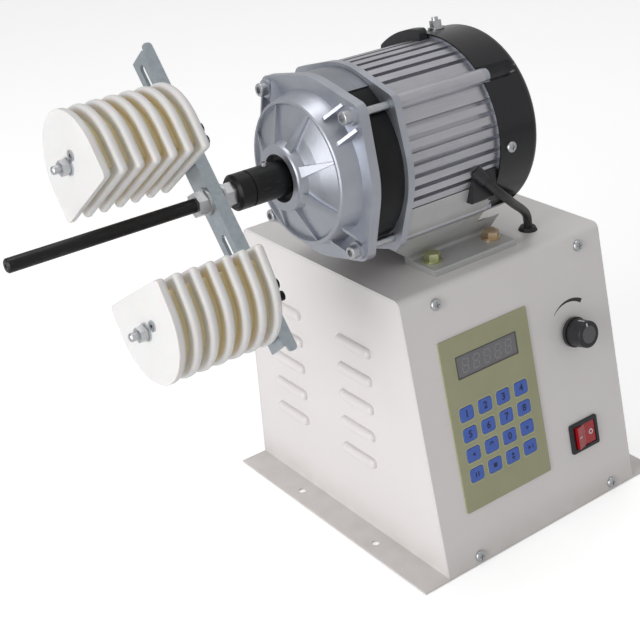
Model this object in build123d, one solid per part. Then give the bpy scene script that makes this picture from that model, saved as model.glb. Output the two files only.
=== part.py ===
from build123d import *
from math import acos, atan2, cos, degrees, hypot, pi, radians, sin, sqrt, tan
import os

# Coil winding machine: a louvred sheet-metal cabinet carries a geared motor, whose
# output spindle turns a slotted cross bar with two stacks of grooved winding formers.
# Millimetres. X runs along the motor axis (spindle towards -X), Y away from the
# operator, Z up. The origin is the middle of the four base holes, at the underside.

# ---------------------------------------------------------------- driving dimensions
# cabinet
CAB_WIDTH = 210.0
CAB_DEPTH = 252.0
CAB_HEIGHT = 223.0
PANEL_SET_BACK = 49.0
SHEET = 1.5
BEND_RADIUS = 6.0
SHEET_GAP = 0.2
FLANGE_WIDTH = 25.0
BASE_HOLE_X = 118.0
BASE_HOLE_Y = 50.5
BASE_HOLE_D = 6.5

# louvres pressed out of both cabinet sides
LOUVRE_LENGTH = 42.0
LOUVRE_HEIGHT = 9.0
LOUVRE_DEPTH = 4.0
LOUVRE_PITCH = 25.0
LOUVRE_ROWS = 5
LOUVRE_TOP_Z = 166.0
LOUVRE_COLUMNS_Y = (-20.0, 71.0)

# operator panel: x across, v up the slope from its lower edge
OVERLAY_X = (-77.4, 13.9)
OVERLAY_V = (45.8, 186.9)
OVERLAY_T = 1.2
WINDOW_X = (-63.7, -0.6)
WINDOW_V = (152.8, 171.0)
WINDOW_GAP = 0.1
DISPLAY_BODY = (56.0, 15.0)
KEY_COLUMNS = 4
KEY_ROWS = 4
KEY_FIRST_X = -61.7
KEY_FIRST_V = 124.6
KEY_PITCH_X = 19.2
KEY_PITCH_V = 16.9
KEY_WIDTH = 13.4
KEY_HEIGHT = 11.2
KEY_T = 1.1
KEY_FLOOR = 0.6
KEY_GAP = 0.3
KEY_CORNER = 2.2
PANEL_SCREW_X = (-72.2, 79.0)
PANEL_SCREW_V = (7.1, 216.4)
BOARD_DEPTH = 9.0
BOARD_T = 1.6

# speed knob and its potentiometer
KNOB_X = 59.3
KNOB_V = 150.0
KNOB_SKIRT_R = 12.5
KNOB_R = 11.0
KNOB_H = 17.0
KNOB_FLOOR = 2.5
KNOB_FLUTES = 24
POT_SHAFT_R = 3.0
POT_BUSH_R = 4.6
POT_BODY_R = 12.0
POT_BODY_T = 9.0

# power rocker switch
SWITCH_X = 55.9
SWITCH_V = 60.7
BEZEL = (31.4, 25.7)
BEZEL_T = 2.2
SWITCH_WELL = (24.6, 19.4)
SWITCH_BODY = (27.0, 21.4)
SWITCH_DEPTH = 24.0
ROCKER_GAP = 0.35
ROCKER_TILT = 9.0
ROCKER_PIVOT_N = -3.0
ROCKER_PROUD = 1.0

# power inlet on the rear wall
INLET_X = 62.0
INLET_Z = 48.0
INLET_FLANGE = (48.0, 24.0)
INLET_RECESS = (24.6, 16.8)
INLET_DEPTH = 17.0

# motor and gearbox along the axis
AXIS_Z = 311.0
TIE_R = 71.0
TIE_BOLT_D = 6.0
TIE_ANGLES = (45, 135, 225, 315)
EAR_R = 9.0
BOSS_FACE_X = -148.0
BOSS_R = 24.5
RIM_X = -133.0
RIM_R = 54.0
FLANGE_FRONT_X = -117.0
FLANGE_BACK_X = -109.0
FLANGE_R = 68.5
CAVITY_R = 52.0
RIB_COUNT = 8
RIB_TIP_R = 51.5
RIB_FOOT_HALF = 4.5
RIB_TIP_HALF = 0.6
GUSSET_OFFSET = 10.5
GUSSET_T = 2.5
RING_R = 67.0
PLATE_FRONT_X = -86.0
PLATE_BACK_X = -80.0
PLATE_R = 71.0
SHELL_R = 70.0
SHELL_BORE_R = 60.0
SHELL_BACK_X = 3.0
FIN_GROOVE_W = 3.4
FIN_GROOVE_DEPTH = 5.0
FIN_PITCH = 7.5

# motor feet: a web leans in from the shell's side and ends in a foot plate
FOOT_X = (-57.0, 27.0)
FOOT_HALF_Y = 63.5
FOOT_T = 5.0
FOOT_FILLET = 2.5
WEB_TOP_ANGLE = 202.0
WEB_KNEE = (60.0, 45.0)
WEB_KNEE_R = 22.0
WEB_Y = 33.0
WEB_T = 5.0
WEB_FRONT_RISE = 23.0
FOOT_BOLT_X = (-45.5, 15.5)
FOOT_BOLT_Y = 47.0
FOOT_BOLT_D = 8.0
FOOT_BOLT_AF = 12.0
REAR_SHIELD_T = 5.0
COVER_FRONT_X = 1.0
COVER_BACK_X = 42.0
COVER_R = 74.0
COVER_T = 1.2
COVER_SCREW_X = 11.0
COVER_SCREW_ANGLES = (0, 180, 270)
COVER_SCREW_R = 2.0
SHIELD_EAR_R = 5.6
EARTH_BOLT_X = 18.0
EARTH_BOLT_ANGLE = 79
EARTH_BOLT_R = 2.5
CHANNEL_R = 8.0
CHANNEL_AT_R = 78.0
CHANNEL_BACK_X = 30.0

# terminal cover: a low box on the shell's far upper side
TERMINAL_X = (-7.0, 0.8)
TERMINAL_ANGLES = (47, 86)
TERMINAL_R = 78.5

# bearings (15 x 35 x 11) and shafts
SHAFT_R = 7.5
BEARING_R = 17.5
BEARING_W = 11.0
RUN_FIT = 0.03
SEAL_R = 18.0
SEAL_W = 7.0

# planetary gears
MODULE = 2.5
SUN_TEETH = 12
PLANET_TEETH = 18
RING_TEETH = SUN_TEETH + 2 * PLANET_TEETH
PLANET_COUNT = 3
PRESSURE = radians(20)
ADDENDUM = 0.85
DEDENDUM = 1.1
BACKLASH = 0.12
GEAR_X = (-102.0, -88.0)
CARRIER_X = (-110.5, -103.0)
CARRIER_R = 46.0
PIN_R = 5.0

# rotor, stator and fan
STATOR_X = (-62.0, -12.0)
STATOR_BORE_R = 33.0
AIR_GAP = 0.6
STATOR_SLOTS = 12
TOOTH_W = 8.0
BACK_IRON_R = 50.0
COIL_T = 4.2
FAN_X = (14.0, 34.0)
FAN_R = 58.0
FAN_BLADES = 8

# spindle
HUB_X = (-189.0, -146.0)
HUB_R = 13.3
ROD_TIP_X = -361.0
ROD_R = 5.0
ROD_TIP_CHAMFER = 1.0
ROD_SEAT_R = 4.0
NUT_FRONT_X = -220.0
NUT_AF = 16.0
NUT_T = 8.0
WASHER_R = 10.0
WASHER_T = 2.0

# cross bar: an angle section, web across the axis and one leg along it
BAR_ANGLE = 50.3
BAR_WIDTH = 20.0
BAR_LEG = 10.0
BAR_T = 2.5
BAR_LEG_T = 2.0
BAR_HALF = 115.5
BAR_LEG_HALF = 120.5
SLOT = (26.0, 109.0)
SLOT_W = 6.6

# winding formers: plates and spacers stacked along X
FORMER_HALF_W = 43.0
FORMER_LENGTH = 65.0
FORMER_PLATES = 7
PLATE_T = 6.4
GROOVE_W = 6.2
GROOVE_DEPTH = 8.0
FORMER_CORNER = 3.5
FORMER_FRONT_EDGE = 0.8
BOLT_FROM_EDGE = 27.0
FORMER_A_BOLT = 52.4
FORMER_B_BOLT = 71.4
FORMER_A_TURN = 2.1
FORMER_B_TURN = 8.1
FORMER_BOLT_D = 6.0
FORMER_BOLT_AF = 10.0
FORMER_A_STOP = -9.4
FORMER_B_STOP = 9.4
BOLT_STUB = 13.0
BOLT_HEAD_T = 4.0
BOLT_NUT_T = 5.0
BOLT_TAIL_R = 3.8
BOLT_TAIL_X = -187.5
REAR_WASHER = (5.6, 1.6)
LOCK_WASHER = (5.2, 0.7)
FRONT_WASHER = (6.4, 1.4)
STOP_LENGTH = 18.0
STOP_PROUD = 4.5
STOP_HEAD_R = 3.6

# a hollow pin in each front plate, placed from the clamp bolt along the plate's own axes
FORMER_A_PIN = (3.5, 10.1)
FORMER_B_PIN = (-1.7, -12.4)
HOLLOW_PIN_R = 1.8
HOLLOW_PIN_BORE_R = 1.4
HOLLOW_PIN_LENGTH = 12.0
HOLLOW_PIN_HEAD = (3.9, 1.2)

# motor lead, chosen by hand along its route
LEAD_R = 3.5
LEAD_POINTS = [
    (-14.0, -73.2, 291.0),
    (-8.0, -78.5, 283.0),
    (6.0, -75.5, 271.5),
    (22.0, -66.5, 260.0),
    (38.0, -57.5, 249.5),
    (52.0, -49.5, 239.0),
    (56.0, -47.5, 231.0),
    (56.0, -47.5, 226.5),
]
GROMMET_R = 7.8
GLAND_X = (-23.0, 0.4)
GLAND_Y = (-69.5, -52.0)
GLAND_Z = (273.0, 298.0)

# ---------------------------------------------------------------- derived values
BAR_FRONT_X = NUT_FRONT_X + NUT_T + WASHER_T
BAR_BACK_X = BAR_FRONT_X + BAR_T
FORMER_STACK = FORMER_PLATES * PLATE_T + (FORMER_PLATES - 1) * GROOVE_W
FORMER_FRONT_X = BAR_FRONT_X - FORMER_STACK
SLOPE = hypot(CAB_HEIGHT, PANEL_SET_BACK)
PANEL = Plane(
    origin=(0, -CAB_DEPTH / 2, 0),
    x_dir=(1, 0, 0),
    z_dir=(0, -CAB_HEIGHT / SLOPE, PANEL_SET_BACK / SLOPE),
)
PLANET_PITCH_R = MODULE * (SUN_TEETH + PLANET_TEETH) / 2


# ---------------------------------------------------------------- small helpers
def along_x(x0, x1, radius, y=0.0, z=AXIS_Z):
    """A cylinder parallel to X from x0 to x1."""
    turned = Rot(0, 90, 0) * Cylinder(radius, x1 - x0, align=(Align.CENTER, Align.CENTER, Align.MIN))
    return Pos(x0, y, z) * turned


def polar(radius, angle):
    """The (y, z) of a point at a radius and angle round the motor axis."""
    return radius * cos(radians(angle)), AXIS_Z + radius * sin(radians(angle))


def box(x0, x1, y0, y1, z0, z1):
    """A box between two corners."""
    size = Box(x1 - x0, y1 - y0, z1 - z0)
    return Pos((x0 + x1) / 2, (y0 + y1) / 2, (z0 + z1) / 2) * size


def turned(points):
    """A solid of revolution about the motor axis from (x, radius) points."""
    outline = Polyline(*[(x, 0, r) for x, r in points], close=True)
    return Pos(0, 0, AXIS_Z) * revolve(make_face(outline), Axis.X)


def axial_plane(x, angle=0.0):
    """A plane across the motor axis whose own x points outwards at an angle."""
    a = radians(angle)
    return Plane(origin=(x, 0, AXIS_Z), x_dir=(0, cos(a), sin(a)), z_dir=(1, 0, 0))


def prism(sketch, x0, x1, angle=0.0):
    """A flat shape drawn across the axis, extruded from x0 to x1."""
    return extrude(axial_plane(x0, angle) * sketch, x1 - x0)


def hexagon(across_flats):
    """A hexagon with a flat facing its own y."""
    return RegularPolygon(across_flats / 2, 6, major_radius=False, rotation=30)


def group(*items):
    """Several separate solids kept in one node."""
    solids = []
    for item in items:
        solids += list(item.solids())
    return Compound(children=solids)


def on_fan_cover(x, angle):
    """A place on the fan cover's round wall, its own z pointing outwards."""
    return axial_plane(x, angle) * Pos(COVER_R, 0, 0) * Rot(0, 90, 0)


def cover_screw_places():
    """The (x, angle) of each screw in the fan cover's round wall."""
    return [(COVER_SCREW_X, angle) for angle in COVER_SCREW_ANGLES] + [(EARTH_BOLT_X, EARTH_BOLT_ANGLE)]


def fan_cover_holes(clearance):
    """Radial holes for the fan cover's screws and its earth bolt."""
    holes = []
    for angle in COVER_SCREW_ANGLES:
        holes.append(on_fan_cover(COVER_SCREW_X, angle) * Cylinder(COVER_SCREW_R + clearance, 24))
    holes.append(on_fan_cover(EARTH_BOLT_X, EARTH_BOLT_ANGLE) * Cylinder(EARTH_BOLT_R + clearance, 24))
    return holes


def tie_spots(radius=TIE_R):
    """The four tie-bolt places round the axis."""
    return [polar(radius, angle) for angle in TIE_ANGLES]


def eared_outline(disc_r, ear_r):
    """A band stretched round a disc and four ears at the tie bolts."""
    outlines = list(Circle(disc_r).edges())
    for angle in TIE_ANGLES:
        outlines += (Rot(0, 0, angle) * Pos(TIE_R, 0) * Circle(ear_r)).edges()
    return make_hull(outlines)


# ---------------------------------------------------------------- cabinet
def cabinet_block(inset, x0, x1, floor):
    """The cabinet's side view, drawn in by an inset and extruded along X."""
    lean = PANEL_SET_BACK / CAB_HEIGHT
    push = inset * SLOPE / CAB_HEIGHT
    top = CAB_HEIGHT - inset
    front_foot = -CAB_DEPTH / 2 + lean * floor + push
    front_top = -CAB_DEPTH / 2 + lean * top + push
    rear = CAB_DEPTH / 2 - inset
    outline = [(front_foot, floor), (front_top, top), (rear, top), (rear, floor)]
    face = make_face(Polyline(*outline, close=True))
    bends = [v for v in face.vertices() if v.Y > top - 1]
    face = fillet(bends, BEND_RADIUS - inset)
    plane = Plane(origin=(x0, 0, 0), x_dir=(0, 1, 0), z_dir=(1, 0, 0))
    return extrude(plane * face, x1 - x0)


def panel_box(x, v, n, across, up, thick):
    """A box on the operator panel, standing from height n."""
    return PANEL * Pos(x, v, n + thick / 2) * Box(across, up, thick)


def panel_disc(x, v, n, radius, thick):
    """A disc on the operator panel, standing from height n."""
    return PANEL * Pos(x, v, n + thick / 2) * Cylinder(radius, thick)


def make_cover():
    half = CAB_WIDTH / 2
    cover = cabinet_block(0, -half, half, SHEET) - cabinet_block(SHEET, -half - 1, half + 1, 0)
    display = DISPLAY_BODY[0] + 0.4, DISPLAY_BODY[1] + 0.4
    window_x = (WINDOW_X[0] + WINDOW_X[1]) / 2
    window_v = (WINDOW_V[0] + WINDOW_V[1]) / 2
    cover -= panel_box(window_x, window_v, -4, *display, 8)
    cover -= panel_box(SWITCH_X, SWITCH_V, -4, SWITCH_BODY[0] + 0.4, SWITCH_BODY[1] + 0.4, 8)
    cover -= panel_disc(KNOB_X, KNOB_V, -4, POT_BUSH_R + 0.2, 8)
    for x in PANEL_SCREW_X:
        for v in PANEL_SCREW_V:
            cover -= panel_disc(x, v, -4, 2.6, 8)
    inlet = INLET_RECESS[0] + 3.4, INLET_RECESS[1] + 3.4
    cover -= Pos(INLET_X, CAB_DEPTH / 2, INLET_Z) * Box(inlet[0], 8, inlet[1])
    for x, z in rear_screws():
        cover -= Pos(x, CAB_DEPTH / 2, z) * Rot(90, 0, 0) * Cylinder(2.6, 8)
    for x in FOOT_BOLT_X:
        for y in (-FOOT_BOLT_Y, FOOT_BOLT_Y):
            cover -= Pos(x, y, CAB_HEIGHT) * Cylinder(FOOT_BOLT_D / 2 + 0.3, 8)
    lead_x, lead_y, _ = LEAD_POINTS[-1]
    cover -= Pos(lead_x, lead_y, CAB_HEIGHT) * Cylinder(GROMMET_R - 1.8, 8)
    return cover


def rear_screws():
    return [(x, z) for x in (-76.0, 76.0) for z in (12.0, CAB_HEIGHT - 18.0)]


def louvre_hood(side):
    """One louvre: a pressed hood, open underneath, on the +X or -X side."""
    outer = extrude(Plane.YZ * RectangleRounded(LOUVRE_LENGTH, LOUVRE_HEIGHT, 4.0), LOUVRE_DEPTH)
    rim = outer.faces().sort_by(Axis.X)[-1].edges()
    outer = fillet(rim, LOUVRE_DEPTH - 0.8)
    mouth = Pos(0, -1.2) * RectangleRounded(LOUVRE_LENGTH - 3, LOUVRE_HEIGHT, 3.0)
    hollow = extrude(Plane.YZ * mouth, LOUVRE_DEPTH - 1.0)
    hood = outer - Pos(-0.01, 0, 0) * hollow
    return hood if side > 0 else mirror(hood, Plane.YZ)


def louvre_places():
    rows = [LOUVRE_TOP_Z - LOUVRE_PITCH * i for i in range(LOUVRE_ROWS)]
    return [(y, z) for y in LOUVRE_COLUMNS_Y for z in rows]


def make_chassis():
    half = CAB_WIDTH / 2
    base = box(-half - FLANGE_WIDTH, half + FLANGE_WIDTH, -CAB_DEPTH / 2, CAB_DEPTH / 2, 0, SHEET)
    for x in (-BASE_HOLE_X, BASE_HOLE_X):
        for y in (-BASE_HOLE_Y, BASE_HOLE_Y):
            base -= Pos(x, y, 0) * Cylinder(BASE_HOLE_D / 2, 8)
    chassis = base
    inset = SHEET + SHEET_GAP
    for side in (-1, 1):
        wall = cabinet_block(inset, *sorted((side * half, side * (half - SHEET))), SHEET / 2)
        slot = Box(6, LOUVRE_LENGTH - 3, LOUVRE_HEIGHT - 3)
        hood = louvre_hood(side)
        for y, z in louvre_places():
            wall -= Pos(side * half, y, z - 1.0) * slot
        for y, z in louvre_places():
            wall += Pos(side * half, y, z) * hood
        chassis += wall
    tab_n = -SHEET - SHEET_GAP - SHEET
    for x in PANEL_SCREW_X:
        side = 1 if x > 0 else -1
        inner = abs(x) - 8
        for v in PANEL_SCREW_V:
            low = max(v - 8, 2.4)
            centre_v = (low + v + 8) / 2
            tab = panel_box(side * (half + inner) / 2, centre_v, tab_n, half - inner, v + 8 - low, SHEET)
            chassis += tab - panel_disc(x, v, tab_n - 1, 2.1, 8)
    for x, z in rear_screws():
        side = 1 if x > 0 else -1
        inner = abs(x) - 8
        back = CAB_DEPTH / 2 - SHEET - SHEET_GAP
        xs = sorted((side * inner, side * half))
        tab = box(*xs, back - SHEET, back, z - 8, z + 8)
        chassis += tab - Pos(x, back, z) * Rot(90, 0, 0) * Cylinder(2.1, 8)
    return chassis


def pan_screw(head_r, head_h, shank_r, length):
    """A cross-recessed pan-head screw, head up, seated at its own z = 0."""
    head = Cylinder(head_r, head_h, align=(Align.CENTER, Align.CENTER, Align.MIN))
    head = fillet(head.faces().sort_by(Axis.Z)[-1].edges(), head_h * 0.7)
    cross = Pos(0, 0, head_h) * (Box(head_r, 1.0, 2.0) + Box(1.0, head_r, 2.0))
    shank = Cylinder(shank_r, length, align=(Align.CENTER, Align.CENTER, Align.MAX))
    return head - cross + shank


def make_machine_screws():
    """Panel, rear and fan-cover screws, the earth bolt and the four long tie bolts."""
    screws = [tie_bolt(y, z) for y, z in tie_spots()]
    for x in PANEL_SCREW_X:
        for v in PANEL_SCREW_V:
            screws.append(PANEL * Pos(x, v, 0) * pan_screw(4.7, 2.8, 2.0, 9))
    for x, z in rear_screws():
        screws.append(Pos(x, CAB_DEPTH / 2, z) * Rot(-90, 0, 0) * pan_screw(4.7, 2.8, 2.0, 9))
    for angle in COVER_SCREW_ANGLES:
        screws.append(on_fan_cover(COVER_SCREW_X, angle) * pan_screw(4.4, 2.6, COVER_SCREW_R, 6))
    bolt = extrude(hexagon(8.0), 5.0)
    washer = Cylinder(6.5, 1.5, align=(Align.CENTER, Align.CENTER, Align.MIN))
    stud = Cylinder(EARTH_BOLT_R, 8, align=(Align.CENTER, Align.CENTER, Align.MAX))
    earth = washer + Pos(0, 0, 1.5) * bolt + stud + Pos(0, 0, 6.5) * Cylinder(EARTH_BOLT_R, 5)
    screws.append(on_fan_cover(EARTH_BOLT_X, EARTH_BOLT_ANGLE) * earth)
    return group(*screws)


# ---------------------------------------------------------------- operator panel
def key_places():
    places = []
    for row in range(KEY_ROWS):
        for column in range(KEY_COLUMNS):
            places.append((KEY_FIRST_X + KEY_PITCH_X * column, KEY_FIRST_V - KEY_PITCH_V * row))
    return places


def make_overlay():
    centre = (OVERLAY_X[0] + OVERLAY_X[1]) / 2, (OVERLAY_V[0] + OVERLAY_V[1]) / 2
    size = OVERLAY_X[1] - OVERLAY_X[0], OVERLAY_V[1] - OVERLAY_V[0]
    sheet = Pos(*centre) * RectangleRounded(*size, 1.5)
    window = WINDOW_X[1] - WINDOW_X[0], WINDOW_V[1] - WINDOW_V[0]
    window_at = (WINDOW_X[0] + WINDOW_X[1]) / 2, (WINDOW_V[0] + WINDOW_V[1]) / 2
    sheet -= Pos(*window_at) * Rectangle(*window)
    opening = RectangleRounded(KEY_WIDTH + 2 * KEY_GAP, KEY_HEIGHT + 2 * KEY_GAP, KEY_CORNER + KEY_GAP)
    for x, v in key_places():
        sheet -= Pos(x, v) * opening
    return PANEL * extrude(sheet, OVERLAY_T)


def make_key(x, v):
    cap = extrude(RectangleRounded(KEY_WIDTH, KEY_HEIGHT, KEY_CORNER), KEY_T)
    cap = fillet(cap.faces().sort_by(Axis.Z)[-1].edges(), 0.4)
    return PANEL * Pos(x, v, KEY_FLOOR) * cap


def make_display():
    at = (WINDOW_X[0] + WINDOW_X[1]) / 2, (WINDOW_V[0] + WINDOW_V[1]) / 2
    lens_x = WINDOW_X[1] - WINDOW_X[0] - 2 * WINDOW_GAP
    lens_v = WINDOW_V[1] - WINDOW_V[0] - 2 * WINDOW_GAP
    lens = panel_box(*at, 0, lens_x, lens_v, OVERLAY_T - 0.2)
    body = panel_box(*at, -BOARD_DEPTH, *DISPLAY_BODY, BOARD_DEPTH)
    return lens + body


def make_board():
    low, high = OVERLAY_V[0] + 2, OVERLAY_V[1] - 4
    left, right = OVERLAY_X[0] + 14, OVERLAY_X[1] - 2
    at = (left + right) / 2, (low + high) / 2
    board = panel_box(*at, -BOARD_DEPTH - BOARD_T, right - left, high - low, BOARD_T)
    for x in (left + 4, right - 4):
        for v in (low + 4, high - 4):
            board += panel_disc(x, v, -BOARD_DEPTH, 3.0, BOARD_DEPTH - SHEET)
    for v, size in ((low + 22, (30, 16)), (low + 52, (22, 22)), (low + 84, (40, 12))):
        board += panel_box(at[0], v, -BOARD_DEPTH - BOARD_T - 6, *size, 6)
    return board


def make_potentiometer():
    body = panel_disc(KNOB_X, KNOB_V, -SHEET - POT_BODY_T, POT_BODY_R, POT_BODY_T)
    bush = panel_disc(KNOB_X, KNOB_V, -SHEET, POT_BUSH_R, SHEET + 6)
    nut = PANEL * Pos(KNOB_X, KNOB_V, 0) * extrude(hexagon(12.0), 2.2)
    terminals = panel_box(KNOB_X, KNOB_V - POT_BODY_R - 4, -SHEET - 4, 12, 9, 1.2)
    bore_depth = POT_BODY_T + SHEET - 2
    bore = panel_disc(KNOB_X, KNOB_V, -bore_depth, POT_SHAFT_R + 0.05, bore_depth + 10)
    return body + bush + nut + terminals - bore


def make_knob():
    skirt = Cylinder(KNOB_SKIRT_R, 3.0, align=(Align.CENTER, Align.CENTER, Align.MIN))
    grip = Cone(KNOB_R + 0.6, KNOB_R, KNOB_H, align=(Align.CENTER, Align.CENTER, Align.MIN))
    knob = skirt + grip
    knob = fillet(knob.faces().sort_by(Axis.Z)[-1].edges(), 1.2)
    for i in range(KNOB_FLUTES):
        flute = Pos(KNOB_R + 1.1, 0, KNOB_H / 2 + 3.2) * Cylinder(1.0, KNOB_H)
        knob -= Rot(0, 0, 360 / KNOB_FLUTES * i) * flute
    knob -= Cylinder(7.4, 9.0)
    knob -= Cylinder(POT_SHAFT_R + 0.01, 2 * (KNOB_H - 3))
    shaft = Cylinder(POT_SHAFT_R, KNOB_H + KNOB_FLOOR + 5, align=(Align.CENTER, Align.CENTER, Align.MAX))
    placed = PANEL * Pos(KNOB_X, KNOB_V, KNOB_FLOOR)
    return group(placed * knob, placed * Pos(0, 0, KNOB_H - 3.2) * shaft)


def make_switch_body():
    bezel = extrude(RectangleRounded(*BEZEL, 2.0), BEZEL_T)
    bezel = fillet(bezel.faces().sort_by(Axis.Z)[-1].edges(), 0.9)
    body = Pos(0, 0, -SWITCH_DEPTH / 2) * Box(*SWITCH_BODY, SWITCH_DEPTH)
    well = Pos(0, 0, (BEZEL_T - 15.0) / 2) * Box(*SWITCH_WELL, BEZEL_T + 15.0)
    pins = [Pos(x, y, -SWITCH_DEPTH - 4) * Box(0.8, 4.8, 8) for x in (-8, 0, 8) for y in (-5, 5)]
    pivot = Pos(0, 0, ROCKER_PIVOT_N) * Rot(90, 0, 0) * Cylinder(1.5, SWITCH_WELL[1] + 2)
    ears = pivot - Box(SWITCH_WELL[0], SWITCH_WELL[1] - 2.4, 40)
    return PANEL * Pos(SWITCH_X, SWITCH_V, 0) * (bezel + body - well + ears + pins)


def make_rocker():
    tilt = radians(ROCKER_TILT)
    rise = BEZEL_T + ROCKER_PROUD - ROCKER_PIVOT_N
    half = (SWITCH_WELL[0] / 2 - ROCKER_GAP - rise * sin(tilt)) / cos(tilt)
    dip = tan(tilt) * half
    top = [(-half, rise), (0, rise - dip), (half, rise)]
    belly = [(half * 0.9, -1.5), (0, -6.0), (-half * 0.9, -1.5)]
    face = make_face(Polyline(*top, *belly, close=True))
    width = SWITCH_WELL[1] - 2 * ROCKER_GAP
    body = extrude(Plane.XZ * face, width / 2, both=True)
    body -= Rot(90, 0, 0) * Cylinder(1.6, width + 2)
    return PANEL * Pos(SWITCH_X, SWITCH_V, ROCKER_PIVOT_N) * Rot(0, ROCKER_TILT, 0) * body


# ---------------------------------------------------------------- cabinet interior
def make_inlet():
    wall = INLET_RECESS[0] + 3.0, INLET_RECESS[1] + 3.0
    y0 = CAB_DEPTH / 2
    flange = Pos(INLET_X, y0 + 1.25, INLET_Z) * Box(INLET_FLANGE[0], 2.5, INLET_FLANGE[1])
    flange = fillet(flange.edges().filter_by(Axis.Y), 4.0)
    shell = Pos(INLET_X, y0 - INLET_DEPTH / 2, INLET_Z) * Box(wall[0], INLET_DEPTH, wall[1])
    recess_depth = INLET_DEPTH - 1.5
    recess = Pos(INLET_X, y0 + 2.5 - (recess_depth + 2.5) / 2, INLET_Z)
    inlet = flange + shell - recess * Box(INLET_RECESS[0], recess_depth + 2.5, INLET_RECESS[1])
    for dx, dz in ((-7, -2), (0, 2), (7, -2)):
        inlet += Pos(INLET_X + dx, y0 - INLET_DEPTH + 6.5, INLET_Z + dz) * Box(2.0, 11.0, 4.0)
    for dx in (-20, 20):
        inlet -= Pos(INLET_X + dx, y0, INLET_Z) * Rot(90, 0, 0) * Cylinder(1.7, 12)
    return inlet


def make_driver():
    base_z = SHEET
    case = box(-60, 50, -20, 70, base_z, base_z + 34)
    for i in range(9):
        x = -54 + 12 * i
        case += box(x, x + 3, -20, 70, base_z + 34, base_z + 46)
    return case


# ---------------------------------------------------------------- gears
def involute(angle):
    return tan(angle) - angle


def gear_outline(teeth, tip_r, root_r, thinning):
    """A spur gear's outline with involute flanks; a tooth is centred on its own x."""
    pitch_r = MODULE * teeth / 2
    base_r = pitch_r * cos(PRESSURE)
    half_pitch = pi / (2 * teeth) - thinning / pitch_r + involute(PRESSURE)

    def half_angle(radius):
        return half_pitch - involute(acos(min(1.0, base_r / radius)))

    def at(radius, angle):
        return radius * cos(angle), radius * sin(angle)

    start_r = max(base_r, root_r)
    radii = [start_r + (tip_r - start_r) * t for t in (0.0, 0.3, 0.65, 1.0)]
    step = 2 * pi / teeth
    edges = []
    for i in range(teeth):
        mid = i * step
        low = [at(r, mid - half_angle(r)) for r in radii]
        high = [at(r, mid + half_angle(r)) for r in reversed(radii)]
        foot_low = at(root_r, mid - half_angle(start_r))
        foot_high = at(root_r, mid + half_angle(start_r))
        next_foot = at(root_r, mid + step - half_angle(start_r))
        if start_r > root_r:
            edges.append(Line(foot_low, low[0]))
        edges.append(Spline(*low))
        edges.append(ThreePointArc(low[-1], at(tip_r, mid), high[0]))
        edges.append(Spline(*high))
        if start_r > root_r:
            edges.append(Line(high[-1], foot_high))
        edges.append(ThreePointArc(foot_high, at(root_r, mid + step / 2), next_foot))
    return make_face(edges)


def spur_sketch(teeth):
    pitch_r = MODULE * teeth / 2
    return gear_outline(teeth, pitch_r + ADDENDUM * MODULE, pitch_r - DEDENDUM * MODULE, BACKLASH)


def ring_sketch():
    """The ring gear's tooth spaces, as an outside gear to be cut away."""
    pitch_r = MODULE * RING_TEETH / 2
    return gear_outline(RING_TEETH, pitch_r + DEDENDUM * MODULE, pitch_r - ADDENDUM * MODULE, -BACKLASH)


def planet_angles():
    return [90 + 360 / PLANET_COUNT * i for i in range(PLANET_COUNT)]


def make_ring_gear():
    body = along_x(FLANGE_BACK_X, PLATE_FRONT_X, RING_R)
    half_tooth = 180 / RING_TEETH
    return body - prism(Rot(0, 0, half_tooth) * ring_sketch(), FLANGE_BACK_X - 1, PLATE_FRONT_X + 1)


def make_planet(angle):
    half_tooth = 180 / PLANET_TEETH
    blank = Rot(0, 0, angle + half_tooth) * spur_sketch(PLANET_TEETH) - Circle(PIN_R + RUN_FIT)
    y, z = polar(PLANET_PITCH_R, angle)
    plane = Plane(origin=(GEAR_X[0], y, z), x_dir=(0, 1, 0), z_dir=(1, 0, 0))
    return extrude(plane * blank, GEAR_X[1] - GEAR_X[0])


def make_carrier():
    shaft = along_x(HUB_X[0] + 22, CARRIER_X[0] + 1, SHAFT_R)
    plate = along_x(*CARRIER_X, CARRIER_R)
    for angle in planet_angles():
        y, z = polar(CARRIER_R + 4, angle + 60)
        plate -= along_x(CARRIER_X[0] - 1, CARRIER_X[1] + 1, 16, y, z)
    carrier = shaft + plate
    for angle in planet_angles():
        y, z = polar(PLANET_PITCH_R, angle)
        carrier += along_x(CARRIER_X[1] - 1, GEAR_X[1] - 0.4, PIN_R, y, z)
        carrier += along_x(CARRIER_X[1] - 0.01, GEAR_X[0] - 0.3, PIN_R + 3, y, z)
    return carrier


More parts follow.
